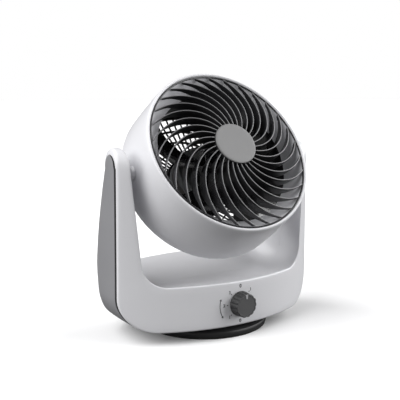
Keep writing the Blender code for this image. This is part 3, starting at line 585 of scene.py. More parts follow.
# --- Studio -------------------------------------------------------------------------------------
@dataclass
class Studio:
    """Camera, lights and floor."""

    camera_at: tuple[float, float, float] = (-0.5356, -0.85075, 0.33154)
    looks_at: tuple[float, float, float] = (0.0, 0.01128, 0.17793)
    lens: float = 62.75
    floor_size: float = 60.0
    surround: float = 0.12
    bounce: float = 0.13

    def build(self) -> None:
        """Makes the camera, the lights, the backdrop and the floor."""
        data = bpy.data.cameras.new("camera")
        data.sensor_width = 36.0
        data.lens = self.lens
        data.clip_end = 100.0
        camera = bpy.data.objects.new("camera", data)
        bpy.context.scene.collection.objects.link(camera)
        camera.location = self.camera_at
        aim = Vector(self.looks_at) - Vector(self.camera_at)
        camera.rotation_euler = aim.to_track_quat("-Z", "Y").to_euler()
        bpy.context.scene.camera = camera
        bpy.context.scene.view_settings.view_transform = "Standard"
        self._world()
        self._sun("upper_left", (-0.78, 0.14, 0.66), 74.0, 4.35)
        self._sun("upper_right", (0.90, -0.36, 0.32), 80.0, 4.6)
        self._floor()

    def _world(self) -> None:
        """A white backdrop with a dim surround."""
        world = bpy.data.worlds.new("surround")
        world.use_nodes = True
        nodes, links = world.node_tree.nodes, world.node_tree.links
        surround = nodes["Background"]
        surround.inputs["Color"].default_value = (1.0, 1.0, 1.0, 1.0)
        surround.inputs["Strength"].default_value = self.surround
        backdrop = nodes.new("ShaderNodeBackground")
        backdrop.inputs["Color"].default_value = (1.0, 1.0, 1.0, 1.0)
        mix = nodes.new("ShaderNodeMixShader")
        path = nodes.new("ShaderNodeLightPath")
        links.new(path.outputs["Is Camera Ray"], mix.inputs[0])
        links.new(surround.outputs["Background"], mix.inputs[1])
        links.new(backdrop.outputs["Background"], mix.inputs[2])
        links.new(mix.outputs["Shader"], nodes["World Output"].inputs["Surface"])
        bpy.context.scene.world = world

    @staticmethod
    def _sun(name: str, towards: tuple[float, float, float], angle: float, power: float) -> None:
        """Adds a very soft far light.

        Args:
            name: Name of the light.
            towards: The direction that it shines from.
            angle: Its size in degrees, as seen from the object.
            power: Power in watts per square metre.
        """
        data = bpy.data.lights.new(name, "SUN")
        data.angle = math.radians(angle)
        data.energy = power
        light = bpy.data.objects.new(name, data)
        bpy.context.scene.collection.objects.link(light)
        light.rotation_euler = Vector(towards).to_track_quat("Z", "Y").to_euler()

    def _floor(self) -> None:
        """A pale floor that runs out past the view."""
        shape = bmesh.new()
        bmesh.ops.create_grid(shape, x_segments=8, y_segments=8, size=self.floor_size / 2)
        floor = raw_object("studio_floor", shape)
        white = (0.90, 0.90, 0.905)
        paper = Finish("pale_paper", white, 0.9, relief=0.02, variation=0.004, specular=0.1)
        floor.data.materials.append(paper.material())
        self._dim_bounce(floor.data.materials[0].node_tree)
        floor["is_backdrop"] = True

    def _dim_bounce(self, tree: bpy.types.NodeTree) -> None:
        """Keeps the pale floor from lighting the undersides as strongly as it looks.

        Args:
            tree: The floor's node tree.
        """
        nodes, links = tree.nodes, tree.links
        dim = nodes.new("ShaderNodeBsdfDiffuse")
        dim.inputs["Color"].default_value = (self.bounce, self.bounce, self.bounce, 1.0)
        mix = nodes.new("ShaderNodeMixShader")
        path = nodes.new("ShaderNodeLightPath")
        links.new(path.outputs["Is Camera Ray"], mix.inputs[0])
        links.new(dim.outputs["BSDF"], mix.inputs[1])
        links.new(nodes["Principled BSDF"].outputs["BSDF"], mix.inputs[2])
        links.new(mix.outputs["Shader"], nodes["Material Output"].inputs["Surface"])


# --- Yoke ---------------------------------------------------------------------------------------
@dataclass
class Station:
    """One section of the yoke's left half, between its outer and inner contours seen from the front."""

    outer: Vector
    inner: Vector
    out_normal: Vector
    in_normal: Vector
    saddle: float = 0.0
    side: float = 1.0
    rise: float = 0.0
    tuck: float = 0.0
    covered: bool = True


@dataclass
class Yoke:
    """The two white shells, the side covers and what is fixed to them."""

    half_width: float = 0.159
    bottom: float = 0.0172
    floor: float = 0.080
    outer_corner: float = 0.0465
    inner_corner: float = 0.033
    root_width: float = 0.027
    tip_width: float = 0.0149
    tip_inset: float = 0.0016
    dome_start: float = 0.236
    dome_rise: float = 0.027
    bow_radius: float = 0.261
    side_front: float = -0.0398
    side_back: float = 0.028
    lean_start: float = 0.082
    lean: float = 0.031
    trough: float = 0.013
    back_lift: float = 0.0075
    bulge: float = 0.0022
    tuck: float = 0.013
    wall: float = 0.0025
    edge_round: float = 0.0030
    split: float = -0.012
    cover: float = 0.003
    seam: float = 0.0044
    seam_start: float = 0.0030
    seat_play: float = 0.0004
    seat_lip: float = 0.003
    # Depths, under the side cover's outer face, of the seam's black strip, which is painted shade.
    shade_strip_sink: float = 0.0003
    shade_strip_base: float = 0.0016
    cover_rise: float = 0.018
    cover_half_depth: float = 0.0155
    plate_radius: float = 0.0716
    pivot: tuple[float, float, float] = PIVOT
    bush_radius: float = 0.0085
    bush_end: float = 0.1485
    opening_top: float = 0.0235
    shaft_hole: float = 0.004
    screw_hole: float = 0.0037
    gland_hole: float = 0.0053
    half_gap: float = 0.00015
    stations: list[Station] = field(default_factory=list)

    def build(self) -> None:
        """Makes the shells and the covers."""
        self.stations = [*self._base(10), *self._corner(18), *self._arm(14), *self._tip(10)]
        self._shells()
        for side in (-1, 1):
            self._side_cover(side)

    # The outline, seen from the front
    def bow(self, x: float) -> float:
        """How far the bowed face stands out at x."""
        drop = math.sqrt(self.bow_radius**2 - self.half_width**2)
        return math.sqrt(self.bow_radius**2 - x * x) - drop

    def front_at(self, x: float) -> float:
        """Depth of the front face at x."""
        return self.side_front - self.bow(x)

    def _base(self, count: int) -> list[Station]:
        """Sections under the head, from the middle outwards.

        Args:
            count: How many sections there are.

        Returns:
            The sections.
        """
        outer_end = self.half_width - self.outer_corner
        inner_end = self.half_width - self.root_width - self.inner_corner
        made = []
        for step in range(count):
            share = step / count
            made.append(
                Station(
                    Vector((-outer_end * share, self.bottom)),
                    Vector((-inner_end * share, self.floor)),
                    Vector((0, -1)),
                    Vector((0, 1)),
                    saddle=1.0,
                    side=0.0,
                    tuck=0.45 * share**2 * self.tuck,
                    covered=False,
                )
            )
        return made

    def _corner(self, count: int) -> list[Station]:
        """Sections round the lower corner.

        Args:
            count: How many sections there are.

        Returns:
            The sections.
        """
        made = []
        for step in range(count):
            angle = math.pi / 2 * step / count
            sine, cosine = math.sin(angle), math.cos(angle)
            centre = -self.half_width + self.outer_corner
            outer = (centre - self.outer_corner * sine, self.bottom + self.outer_corner * (1 - cosine))
            centre = -self.half_width + self.root_width + self.inner_corner
            inner = (centre - self.inner_corner * sine, self.floor + self.inner_corner * (1 - cosine))
            made.append(
                Station(
                    Vector(outer),
                    Vector(inner),
                    Vector((-sine, -cosine)),
                    Vector((sine, cosine)),
                    saddle=cosine**2,
                    side=sine**2,
                    tuck=(0.45 + 0.55 * math.sin(2 * angle)) * self.tuck,
                )
            )
        return made

    def _arm(self, count: int) -> list[Station]:
        """Sections up the arm.

        Args:
            count: How many steps there are.

        Returns:
            The sections, one more than the steps.
        """
        made = []
        tip_centre = self.half_width - self.tip_inset - self.tip_width / 2
        for step in range(count + 1):
            share = step / count
            low = self.bottom + self.outer_corner
            outer = (-self.half_width + self.tip_inset * share, lerp(low, self.dome_start, share))
            low = self.floor + self.inner_corner
            inner_x = lerp(-self.half_width + self.root_width, -tip_centre + self.tip_width / 2, share)
            inner = (inner_x, lerp(low, self.dome_start, share))
            tuck = 0.45 * self.tuck * max(0.0, 1 - share * 5)
            made.append(
                Station(Vector(outer), Vector(inner), Vector((-1, 0)), Vector((1, 0)), tuck=tuck)
            )
        return made

    def _tip_station(self, angle: float) -> Station:
        """The section over the arm's rounded tip at an angle of its dome.

        Args:
            angle: Angle on the dome, from 0 at its foot.

        Returns:
            The section.
        """
        centre = self.half_width - self.tip_inset - self.tip_width / 2
        half = self.tip_width / 2 * math.cos(angle) ** 0.4
        height = self.dome_start + self.dome_rise * math.sin(angle)
        outer, inner = Vector((-centre - half, height)), Vector((-centre + half, height))
        return Station(outer, inner, Vector((-1, 0)), Vector((1, 0)), rise=angle)

    def _tip(self, count: int) -> list[Station]:
        """Sections over the rounded tip of the arm."""
        shares = [(step / count) ** 0.8 for step in range(1, count + 1)]
        return [self._tip_station(TIP_LAST_ANGLE * share) for share in shares]

    def _cover_tip(self, count: int) -> list[Station]:
        """Sections over the rounded top of a side cover.

        Args:
            count: How many sections there are.

        Returns:
            The sections.
        """
        made = []
        for step in range(1, count + 1):
            sine = math.sin(TIP_LAST_ANGLE * step / count)
            made.append(self._tip_station(math.asin(self.cover_rise / self.dome_rise * sine)))
        return made

    def _side_stations(self) -> list[Station]:
        """Sections that a side cover spans, from the lower corner to its rounded top."""
        return [s for s in self.stations if s.covered and not s.rise] + self._cover_tip(9)

    # The sections
    def _back_edge(self, height: float) -> float:
        """The back edge of the side at a height."""
        share = max(0.0, (height - self.lean_start) / (self.dome_start - self.lean_start))
        return self.side_back - self.lean * min(1.0, share) ** 1.6

    def _tip_centre(self) -> float:
        """The middle of the arm's tip, in depth."""
        return (self.side_front + self._back_edge(self.dome_start)) / 2

    def _front(self, station: Station, point: Vector) -> float:
        """Depth of the front face at a point of a section."""
        full = self.side_front - self.bow(point.x)
        return lerp(self._tip_centre(), full, math.cos(station.rise))

    def _back(self, station: Station, point: Vector) -> float:
        """Depth of the back face at a point of a section."""
        full = self._back_edge(point.y) + self.bow(point.x)
        return lerp(self._tip_centre(), full, math.cos(station.rise))

    def _bulge(self, station: Station, y: float, front: float, back: float) -> float:
        """How far the outer side stands out at a depth."""
        share = min(1.0, max(0.0, (y - front) / (back - front)))
        return self.bulge * 4 * share * (1 - share) * station.side * math.cos(station.rise)

    def section(self, station: Station, wall: float = 0.0, side_wall: float = 0.0) -> list[Vector]:
        """The closed ring of one section, with rounded corners.

        Args:
            station: The section.
            wall: Wall thickness that the ring is drawn in by.
            side_wall: Wall thickness on the outer side.

        Returns:
            The points, in the row frame.
        """
        outer = station.outer - station.out_normal * side_wall
        inner = station.inner - station.in_normal * wall
        lift = station.in_normal * (self.back_lift * station.saddle)
        inner_back = inner + lift
        front_out = self._front(station, station.outer) + wall
        front_in = self._front(station, station.inner) + wall
        back_in = self._back(station, station.inner) - wall
        back_out = self._back(station, station.outer) - wall - station.tuck
        width, depth = (inner - outer).length, back_out - front_out
        radius = min(self.edge_round if wall == 0.0 else 0.001, depth * 0.24, width * 0.24)
        across, along = radius / width, radius / max(depth, 1e-6)

        def front(share: float) -> Vector:
            """A point of the front face.

            Args:
                share: Share of the way across the face.

            Returns:
                The point.
            """
            place = outer.lerp(inner, share)
            return Vector((place.x, self._front(station, place) + wall, place.y))

        def back(share: float) -> Vector:
            """A point of the back face.

            Args:
                share: Share of the way across the face.

            Returns:
                The point.
            """
            place = outer.lerp(inner_back, share)
            tuck = station.tuck * (1 - share) ** 3
            return Vector((place.x, self._back(station, place) - wall - tuck, place.y))

        def saddle(share: float) -> Vector:
            """A point of the face that the yoke turns to the head.

            Args:
                share: Share of the way across the face.

            Returns:
                The point.
            """
            sag = self.trough * station.saddle * 4 * share * (1 - share)
            place = inner + lift * share - station.in_normal * sag
            return Vector((place.x, lerp(front_in, back_in, share), place.y))

        def side(share: float) -> Vector:
            """A point of the outer face.

            Args:
                share: Share of the way across the face.

            Returns:
                The point.
            """
            y = lerp(front_out, back_out, share)
            place = outer + station.out_normal * self._bulge(station, y, front_out, back_out)
            return Vector((place.x, y, place.y))

        runs = [
            [front(lerp(across, 1 - across, i / 6)) for i in range(7)],
            [saddle(lerp(along, 1 - along, i / 12)) for i in range(13)],
            [back(lerp(1 - across, across, i / 6)) for i in range(7)],
            [side(lerp(1 - along, along, i / 8)) for i in range(9)],
        ]
        corners = [front(1.0), back(1.0), side(1.0), front(0.0)]
        ring: list[Vector] = []
        for run, corner, following in zip(runs, corners, runs[1:] + runs[:1]):
            ring += run
            for share in (0.25, 0.5, 0.75):
                first = run[-1].lerp(corner, share)
                ring.append(first.lerp(corner.lerp(following[0], share), share))
        return ring

    def _both_sides(self, rings: Sequence[Sequence[Vector]]) -> list[list[Vector]]:
        """Rings from the left tip over to the right tip.

        Args:
            rings: Rings of the left half, from the middle to the tip.

        Returns:
            The rings of the whole yoke.
        """
        left = [list(ring) for ring in reversed(rings)]
        right = [[Vector((-p.x, p.y, p.z)) for p in ring] for ring in rings[1:]]
        return left + right

    def _cavity(self) -> bpy.types.Object:
        """The hollow inside the shells.

        Returns:
            A plain object to cut with.
        """
        rings = []
        for station in self.stations[:-5]:
            side_wall = self.wall + (self.cover + 0.0015 if station.covered else 0.0)
            rings.append(self.section(station, self.wall, side_wall))
        return raw_object("cavity", bridged(self._both_sides(rings)))

    def _shells(self) -> None:
        """Makes both shells: the whole yoke is hollowed, drilled and then parted."""
        rings = self._both_sides([self.section(s) for s in self.stations])
        cut = "DIFFERENCE"
        across = aimed(self.pivot, (1, 0, 0))
        reach = self.bush_end
        plate = self.plate_radius + self.seat_play
        knob = aimed((0, self.front_at(0) + 0.01, KNOB_HEIGHT), (0, -1, 0))
        for name, sign in (("yoke_front", -1), ("yoke_rear", 1)):
            whole = raw_object(name + "_whole", bridged(rings))
            cutters = [
                (self._cavity(), cut),
                (raw_object("recess_left", self._cover_shape(-1, True)), cut),
                (raw_object("recess_right", self._cover_shape(1, True)), cut),
                (raw_object("opening", rod(plate, 0.0, self.opening_top, UP, 96)), cut),
                (raw_object("bushes", rod(self.bush_radius, -reach, reach, across)), cut),
                (raw_object("shaft", rod(self.shaft_hole, 0.0, 0.02, knob, 24)), cut),
            ]
            if sign > 0:
                for number, (x, z) in enumerate(Fixings.screw_places):
                    place = aimed((x, -self.front_at(x) - 0.0125, z), (0, 1, 0))
                    hole = rod(self.screw_hole, -0.01, 0.01, place, 24)
                    cutters.append((raw_object(f"screw_hole_{number}", hole), cut))
                place = aimed(Fixings.gland_at, (0, 1, 0))
                gland = rod(self.gland_hole, -0.012, 0.01, place, 24)
                cutters.append((raw_object("gland_hole", gland), cut))
            low, high = Vector((-1, -1, -1)), Vector((1, 1, 1))
            if sign < 0:
                high.y = self.split - self.half_gap
            else:
                low.y = self.split + self.half_gap
            cutters.append((raw_object("half", box(low, high)), "INTERSECT"))
            shape = clean(combine(whole, cutters))
            seat = Seat("yoke", "white_shell", (name + "_shell",))
            finish_object(name + "_housing", shape, [WHITE], seat, sharp=40.0)

    # The side covers
    def _cover_ring(self, station: Station, recess: bool) -> list[Vector]:
        """The ring of one section of a side cover, or of its seat.

        Args:
            station: The section.
            recess: True for the seat.

        Returns:
            The points, in the row frame.
        """
        edge_front = self._front(station, station.outer)
        edge_back = self._back(station, station.outer) - station.tuck
        if station.rise:
            share = (station.outer.y - self.dome_start) / self.cover_rise
            half = self.cover_half_depth * math.sqrt(max(0.0, 1 - share**2))
            front, back = self._tip_centre() - half, self._tip_centre() + half
        else:
            reach = max(0.0, (station.outer.y - self.lean_start) / (self.dome_start - self.lean_start))
            front, back = edge_front + self.seam_start, edge_back - 0.004 * reach**3
        depths = [lerp(front, back, i / 10) for i in range(11)]
        lip, base = (self.seat_lip, self.cover + self.seat_play) if recess else (0.0, self.cover)
        if recess:
            tail = back + (0.006 if not station.rise else 0.0006)
            depths = [front - 0.0003, *depths, tail]
        else:
            depths = [y + self.seam * (1 - i / 10) ** 4 for i, y in enumerate(depths)]
        outer_row, inner_row = [], []
        for y in depths:
            out = self._bulge(station, y, edge_front, edge_back)
            place = station.outer + station.out_normal * (out + lip)
            outer_row.append(Vector((place.x, y, place.y)))
            place = station.outer + station.out_normal * (out - base)
            inner_row.append(Vector((place.x, y, place.y)))
        return outer_row + inner_row[::-1]

    def _cover_shape(self, side: int, recess: bool) -> bmesh.types.BMesh:
        """The solid of a side cover, or of the seat that is cut for it.

        Args:
            side: -1 for left and 1 for right.
            recess: True for the seat.

        Returns:
            The mesh.
        """
        rings = [self._cover_ring(s, recess) for s in self._side_stations()]
        if recess:
            rings.insert(0, [p + Vector((self.seat_play, 0, 0)) for p in rings[0]])
            rings.append([p + Vector((0, 0, 0.0006)) for p in rings[-1]])
        return to_side(bridged(rings), side)

    def _side_cover(self, side: int) -> None:
        """Makes one side cover with softened edges.

        Args:
            side: -1 for left and 1 for right.
        """
        label = "left" if side < 0 else "right"
        shape = soften(self._cover_shape(side, False), 0.0006, 2, 50.0)
        seat = Seat("yoke", "silver_cover", ("side_cover_" + label,))
        finish_object("side_panel_" + label, shape, [SILVER], seat)
        self._seam_shade(side, label)

    def _seam_shade(self, side: int, label: str) -> None:
        """Makes the black strip sunk in the seam before a side cover: painted shade for the shadow in
        the gap.

        Args:
            side: -1 for left and 1 for right.
            label: The side in words.
        """
        rings = []
        for station in self._side_stations():
            ring = self._cover_ring(station, False)
            near_out, near_in = ring[0], ring[-1]
            out = (near_out - near_in).normalized()
            low, high = near_out - out * self.shade_strip_base, near_out - out * self.shade_strip_sink
            back = Vector((0, self.seat_play, 0))
            front = Vector((0, -self.seam - 0.0001, 0))
            rings.append([high + front, high - back, low - back, low + front])
        shape = to_side(bridged(rings), side)
        # The strip is a black piece put in the gap: painted shade.
        finish_object("side_seam_shade_" + label, shape, [SEAM_SHADE_BLACK], Seat("yoke", "black_plastic"))


# --- Fixings and foot ---------------------------------------------------------------------------
@dataclass
class Fixings:
    """Screws and the cord gland at the back of the yoke."""

    screw_places: ClassVar[tuple[tuple[float, float], ...]] = (
        (-0.105, 0.034),
        (0.105, 0.034),
        (-0.060, 0.066),
        (0.060, 0.066),
    )
    gland_at: ClassVar[tuple[float, float, float]] = (0.0, 0.08202, 0.034)

    def build(self, yoke: Yoke) -> None:
        """Makes the screws and the gland.

        Args:
            yoke: The yoke that they sit in.
        """
        for number, (x, z) in enumerate(self.screw_places, 1):
            face_y = yoke.side_back + yoke.bow(x)
            place = aimed((x, face_y - 0.0029, z), (0, 1, 0))
            head = [(0.0, 0.0019), (0.0012, 0.0019), (0.0024, 0.0015), (0.0031, 0.0006), (0.0032, 0.0)]
            shank = [(0.0016, 0.0), (0.0016, -0.0164), (0.0, -0.018)]
            whole = raw_object("screw", turned(head + shank, 32, place))
            slots = []
            for turn in (0.3, 0.3 + math.pi / 2):
                bar = box(Vector((-0.0019, -0.00038, 0.0006)), Vector((0.0019, 0.00038, 0.004)))
                spin = place @ Matrix.Rotation(turn, 4, "Z")
                bmesh.ops.transform(bar, matrix=spin, verts=bar.verts)
                slots.append((raw_object("slot", bar), "DIFFERENCE"))
            seat = Seat("yoke", "steel", (f"shell_screw_{number}",))
            finish_object(f"cross_screw_{number}", combine(whole, slots), [STEEL], seat)
        profile = [(0.0035, 0.0030), (0.0068, 0.0030), (0.0078, 0.0022), (0.0080, 0.0004)]
        profile += [(0.0050, 0.0004), (0.0050, -0.0060), (0.0035, -0.0060)]
        shape = turned(profile, 48, aimed(self.gland_at, (0, 1, 0)))
        seat = Seat("yoke", "black_plastic", ("cord_gland",))
        finish_object("cord_bushing", soften(shape, 0.0003), [BLACK_SATIN], seat)


@dataclass
class Foot:
    """The round foot."""

    radius: float = 0.092
    top: float = 0.014
    edge: float = 0.008

    def build(self) -> None:
        """Makes the foot's moulded disc."""
        r, wall = self.radius, 0.0025
        profile = [
            (0.0123, self.top),
            (r - 0.020, self.top),
            (r - 0.012, self.top - 0.0004),
            (r - 0.006, self.top - 0.0016),
            (r - 0.0025, self.top - 0.0034),
            (r - 0.0006, self.edge + 0.0016),
            (r, self.edge),
            (r, 0.0040),
            (r - 0.0004, 0.0028),
            (r - wall, 0.0028),
            (r - wall, self.edge - 0.0005),
            (r - 0.016, self.top - wall),
            (0.0123, self.top - wall),
        ]
        seat = Seat("foot", "foot_plastic", ("foot_disc",))
        finish_object("foot_moulding", turned(profile, 144), [BLACK_SATIN], seat)


# --- Control ------------------------------------------------------------------------------------
@dataclass
class Control:
    """The scalloped knob and the marks printed round it."""

    height: float = KNOB_HEIGHT
    radius: float = 0.0175
    depth: float = 0.0155
    lobes: int = 14
    dial_radius: float = 0.0246
    tick_start: float = 0.0198
    tick_end: float = 0.0219
    print_height: float = 0.00012
    arrow_radius: float = 0.0322
    bore: float = 0.0033

    def build(self, yoke: Yoke) -> None:
        """Makes the knob and the dial.

        Args:
            yoke: The yoke whose front carries them.
        """
        place = aimed((0, yoke.front_at(0), self.height), (0, -1, 0))
        self._knob(place)
        self._dial(yoke)

    def _ring(self, height: float, base: float, lobe: float) -> list[Vector]:
        """One outline of the knob.

        Args:
            height: Height over the yoke.
            base: Share of the radius.
            lobe: Depth of the scallops as a share of the radius.

        Returns:
            The points, in the knob's own axes.
        """
        ring = []
        steps = self.lobes * 14
        for step in range(steps):
            angle = TURN * step / steps
            wave = abs(math.cos(self.lobes * angle / 2)) ** 0.7
            radius = self.radius * base * (1 - lobe * (1 - wave))
            ring.append(Vector((radius * math.cos(angle), radius * math.sin(angle), height)))
        return ring

    def _knob(self, place: Matrix) -> None:
        """Makes the knob: a scalloped grip with a flat face and a skirt.

        Args:
            place: Where the knob goes.
        """
        face = self.depth
        levels = [
            (0.0006, 1.0, 0.0),
            (0.0022, 1.0, 0.0),
            (0.0030, 0.985, 0.05),
            (face - 0.0020, 0.955, 0.075),
            (face - 0.0007, 0.935, 0.075),
            (face, 0.895, 0.06),
        ]
        shape = bridged([self._ring(*level) for level in levels])
        cap = max(shape.faces, key=lambda f: f.calc_center_median().z)
        bmesh.ops.inset_individual(shape, faces=[cap], thickness=0.0012, depth=0.0)
        bmesh.ops.inset_individual(shape, faces=[cap], thickness=0.0004, depth=-0.0004)
        bmesh.ops.transform(shape, matrix=place, verts=shape.verts)
        grip = raw_object("grip", shape)
        bore = raw_object("bore", rod(self.bore, -0.001, 0.0108, place, 24))
        shape = clean(combine(grip, [(bore, "DIFFERENCE")]))
        # Faces that don't look straight out of the knob take the darker grey: painted shade on its
        # sides.
        for part in shape.faces:
            part.material_index = 1 if part.normal.y > -0.8 else 0
        seat = Seat("knob", "knob_plastic", ("control_knob",))
        finish_object("knob_grip", shape, [KNOB_GREY, KNOB_SIDE_SHADE], seat, 38.0)
        up = place @ Matrix.Rotation(-math.pi / 2 + self._up_turn(place), 4, "Z")
        wedge = bmesh.new()
        bmesh.ops.create_cube(wedge, size=1.0)
        for vert in wedge.verts:
            far = vert.co.y > 0
            half = 0.0021 if far else 0.0009
            y = 0.0158 if far else 0.0098
            z = face - 0.0003 if vert.co.z < 0 else face + (0.0001 if far else 0.0004)
            vert.co = Vector((half if vert.co.x > 0 else -half, y, z))
        soften(wedge, 0.00008, 1, 40.0)
        bmesh.ops.transform(wedge, matrix=up, verts=wedge.verts)
        finish_object("knob_pointer", wedge, [POINTER_GREY], Seat("knob", "knob_plastic"))

    @staticmethod
    def _up_turn(place: Matrix) -> float:
        """The angle, in the knob's plane, of the world's +Z."""
        local = place.to_3x3().inverted() @ Vector((0, 0, 1))
        return math.atan2(local.y, local.x)

    def _bend(self, yoke: Yoke, shape: bmesh.types.BMesh, lift: float) -> None:
        """Lays a flat shape in x and y on the yoke's front, round the knob's centre.

        Args:
            yoke: The yoke whose front carries the shape.
            shape: The flat shape.
            lift: Its height over the face.
        """
        for vert in shape.verts:
            x, up, out = vert.co
            vert.co = Vector((x, yoke.front_at(x) - lift - out, self.height + up))

    def _dial(self, yoke: Yoke) -> None:
        """Makes the ticks, the numerals and the arrow for the swing.

        Args:
            yoke: The yoke whose front carries the marks.
        """
        marks = bmesh.new()
        for number in range(8):
            angle = math.pi / 2 - TURN * number / 8
            if number in (0, 4):
                continue
            shape = box(
                Vector((self.tick_start, -0.0005, 0.0)),
                Vector((self.tick_end, 0.0005, self.print_height)),
            )
            turn = Matrix.Rotation(angle, 4, "Z")
            bmesh.ops.transform(shape, matrix=turn, verts=shape.verts)
            merge(marks, shape)
        for number, label in enumerate(("0", "1", "2", "3", "0", "1", "2", "3")):
            angle = math.pi / 2 - TURN * number / 8
            radius = self.dial_radius + (0.0012 if number in (2, 6) else 0.0)
            at = Vector((radius * math.cos(angle), radius * math.sin(angle), 0))
            merge(marks, self._numeral(label, at, 0.0062 if label != "0" else 0.0070))
        merge(marks, self._arrow())
        self._bend(yoke, marks, 0.00002)
        marks.normal_update()
        bmesh.ops.recalc_face_normals(marks, faces=marks.faces)
        finish_object("dial_marks", marks, [PRINT_GREY], Seat("yoke", "knob_plastic"))

    @staticmethod
    def _numeral(label: str, at: Vector, size: float) -> bmesh.types.BMesh:
        """A thin raised numeral.

        Args:
            label: The numeral.
            at: Its centre.
            size: Height in metres.

        Returns:
            The mesh, flat on x and y.
        """
        curve = bpy.data.curves.new("numeral", "FONT")
        curve.body = label
        curve.size = size
        curve.align_x = "CENTER"
        curve.align_y = "CENTER"
        curve.extrude = 0.00006
        curve.offset = size * 0.02
        curve.resolution_u = 3
        text = bpy.data.objects.new("numeral", curve)
        bpy.context.scene.collection.objects.link(text)
        graph = bpy.context.evaluated_depsgraph_get()
        shape = bmesh.new()
        shape.from_mesh(text.evaluated_get(graph).to_mesh())
        bpy.data.objects.remove(text, do_unlink=True)
        bpy.data.curves.remove(curve)
        bmesh.ops.translate(shape, vec=at + Vector((0, 0, 0.00006)), verts=shape.verts)
        return clean(shape)

    def _arrow(self) -> bmesh.types.BMesh:
        """The curved double arrow beside the dial's left half.

        Returns:
            The mesh, flat on x and y.
        """
        radius = self.arrow_radius
        shape = bmesh.new()
        half = math.radians(20)

        def arc(angle: float) -> Vector:
            """A point of the arrow's middle line."""
            return Vector((math.cos(angle) * radius, math.sin(angle) * radius, 0))

        def lay(low: float, high: float, taper: float, width: float) -> None:
            """Adds a strip along the arc.

            Args:
                low: Angle of its first end.
                high: Angle of its second end.
                taper: Share of the width that it loses by its second end.
                width: Width at its first end.
            """

            def place(u: float, v: float) -> Vector:
                """A point of the strip.

                Args:
                    u: Share along it.
                    v: Share across it.

                Returns:
                    The point.
                """
                angle = lerp(low, high, u)
                reach = width * (1 - taper * u) * (v - 0.5)
                return arc(angle) * ((radius + reach) / radius) + Vector((0, 0, 0.00006))

            merge(shape, sheet(14, 1, place, self.print_height))

        middle = math.pi + math.radians(7)
        lay(middle - half, middle + half, 0.0, 0.0009)
        lay(middle - half, middle - half - 0.09, 0.98, 0.0034)
        lay(middle + half, middle + half + 0.09, 0.98, 0.0034)
        return shape


# --- Head ---------------------------------------------------------------------------------------
@dataclass
class Head:
    """Sizes and placing that the pieces of the head share."""

    tilt: float = math.radians(33.7)
    pivot: tuple[float, float, float] = PIVOT
    pivot_depth: float = 0.056
    grille_radius: float = 0.118
    rim: float = 0.123
    drum: float = 0.127
    straight: float = 0.078
    bowl_depth: float = 0.047
    flat_radius: float = 0.067
    rear_radius: float = 0.1155
    hub_radius: float = 0.0304
    dome: float = 0.0149
    wall: float = 0.0025
    boss_end: float = 0.1384
    boss_radius: float = 0.0078
    duct_outer: float = 0.1065
    duct_inner: float = 0.1042
    duct_start: float = 0.0246
    flange: float = 0.002
    pin_hole: float = 0.0058

    def place(self) -> Matrix:
        """The matrix from the head's axes to the row frame."""
        turn = Matrix.Rotation(math.pi / 2 - self.tilt, 4, "X")
        return Matrix.Translation(Vector(self.pivot)) @ turn

    def depth(self, behind_rim: float) -> float:
        """Height, in the head's axes, of a plane this far behind the rim."""
        return self.pivot_depth - behind_rim

    def bowl(self, radius: float, inset: float = 0.0) -> float:
        """How far behind the rim the rounded back lies at a radius.

        Args:
            radius: Distance from the head's axis.
            inset: Wall thickness that the curve is drawn in by.

        Returns:
            The distance behind the rim.
        """
        share = (radius - self.flat_radius) / (self.drum - self.flat_radius - inset)
        round_off = math.sqrt(max(0.0, 1 - max(0.0, share) ** 2))
        return self.straight + (self.bowl_depth - inset) * round_off

    def bowl_run(self, start: float, end: float, count: int, inset: float) -> list[tuple[float, float]]:
        """Points along the rounded back between two radii, evenly round its curve.

        Args:
            start: First radius.
            end: Last radius.
            count: How many steps there are.
            inset: Wall thickness that the curve is drawn in by.

        Returns:
            Points of radius and height.
        """
        span = self.drum - self.flat_radius - inset

        def angle(radius: float) -> float:
            """The angle round the curve at a radius."""
            return math.asin(min(1.0, (radius - self.flat_radius) / span))

        run = []
        for step in range(count + 1):
            turn = lerp(angle(start), angle(end), step / count)
            radius = self.flat_radius + span * math.sin(turn)
            run.append((radius, self.depth(self.bowl(radius, inset))))
        return run


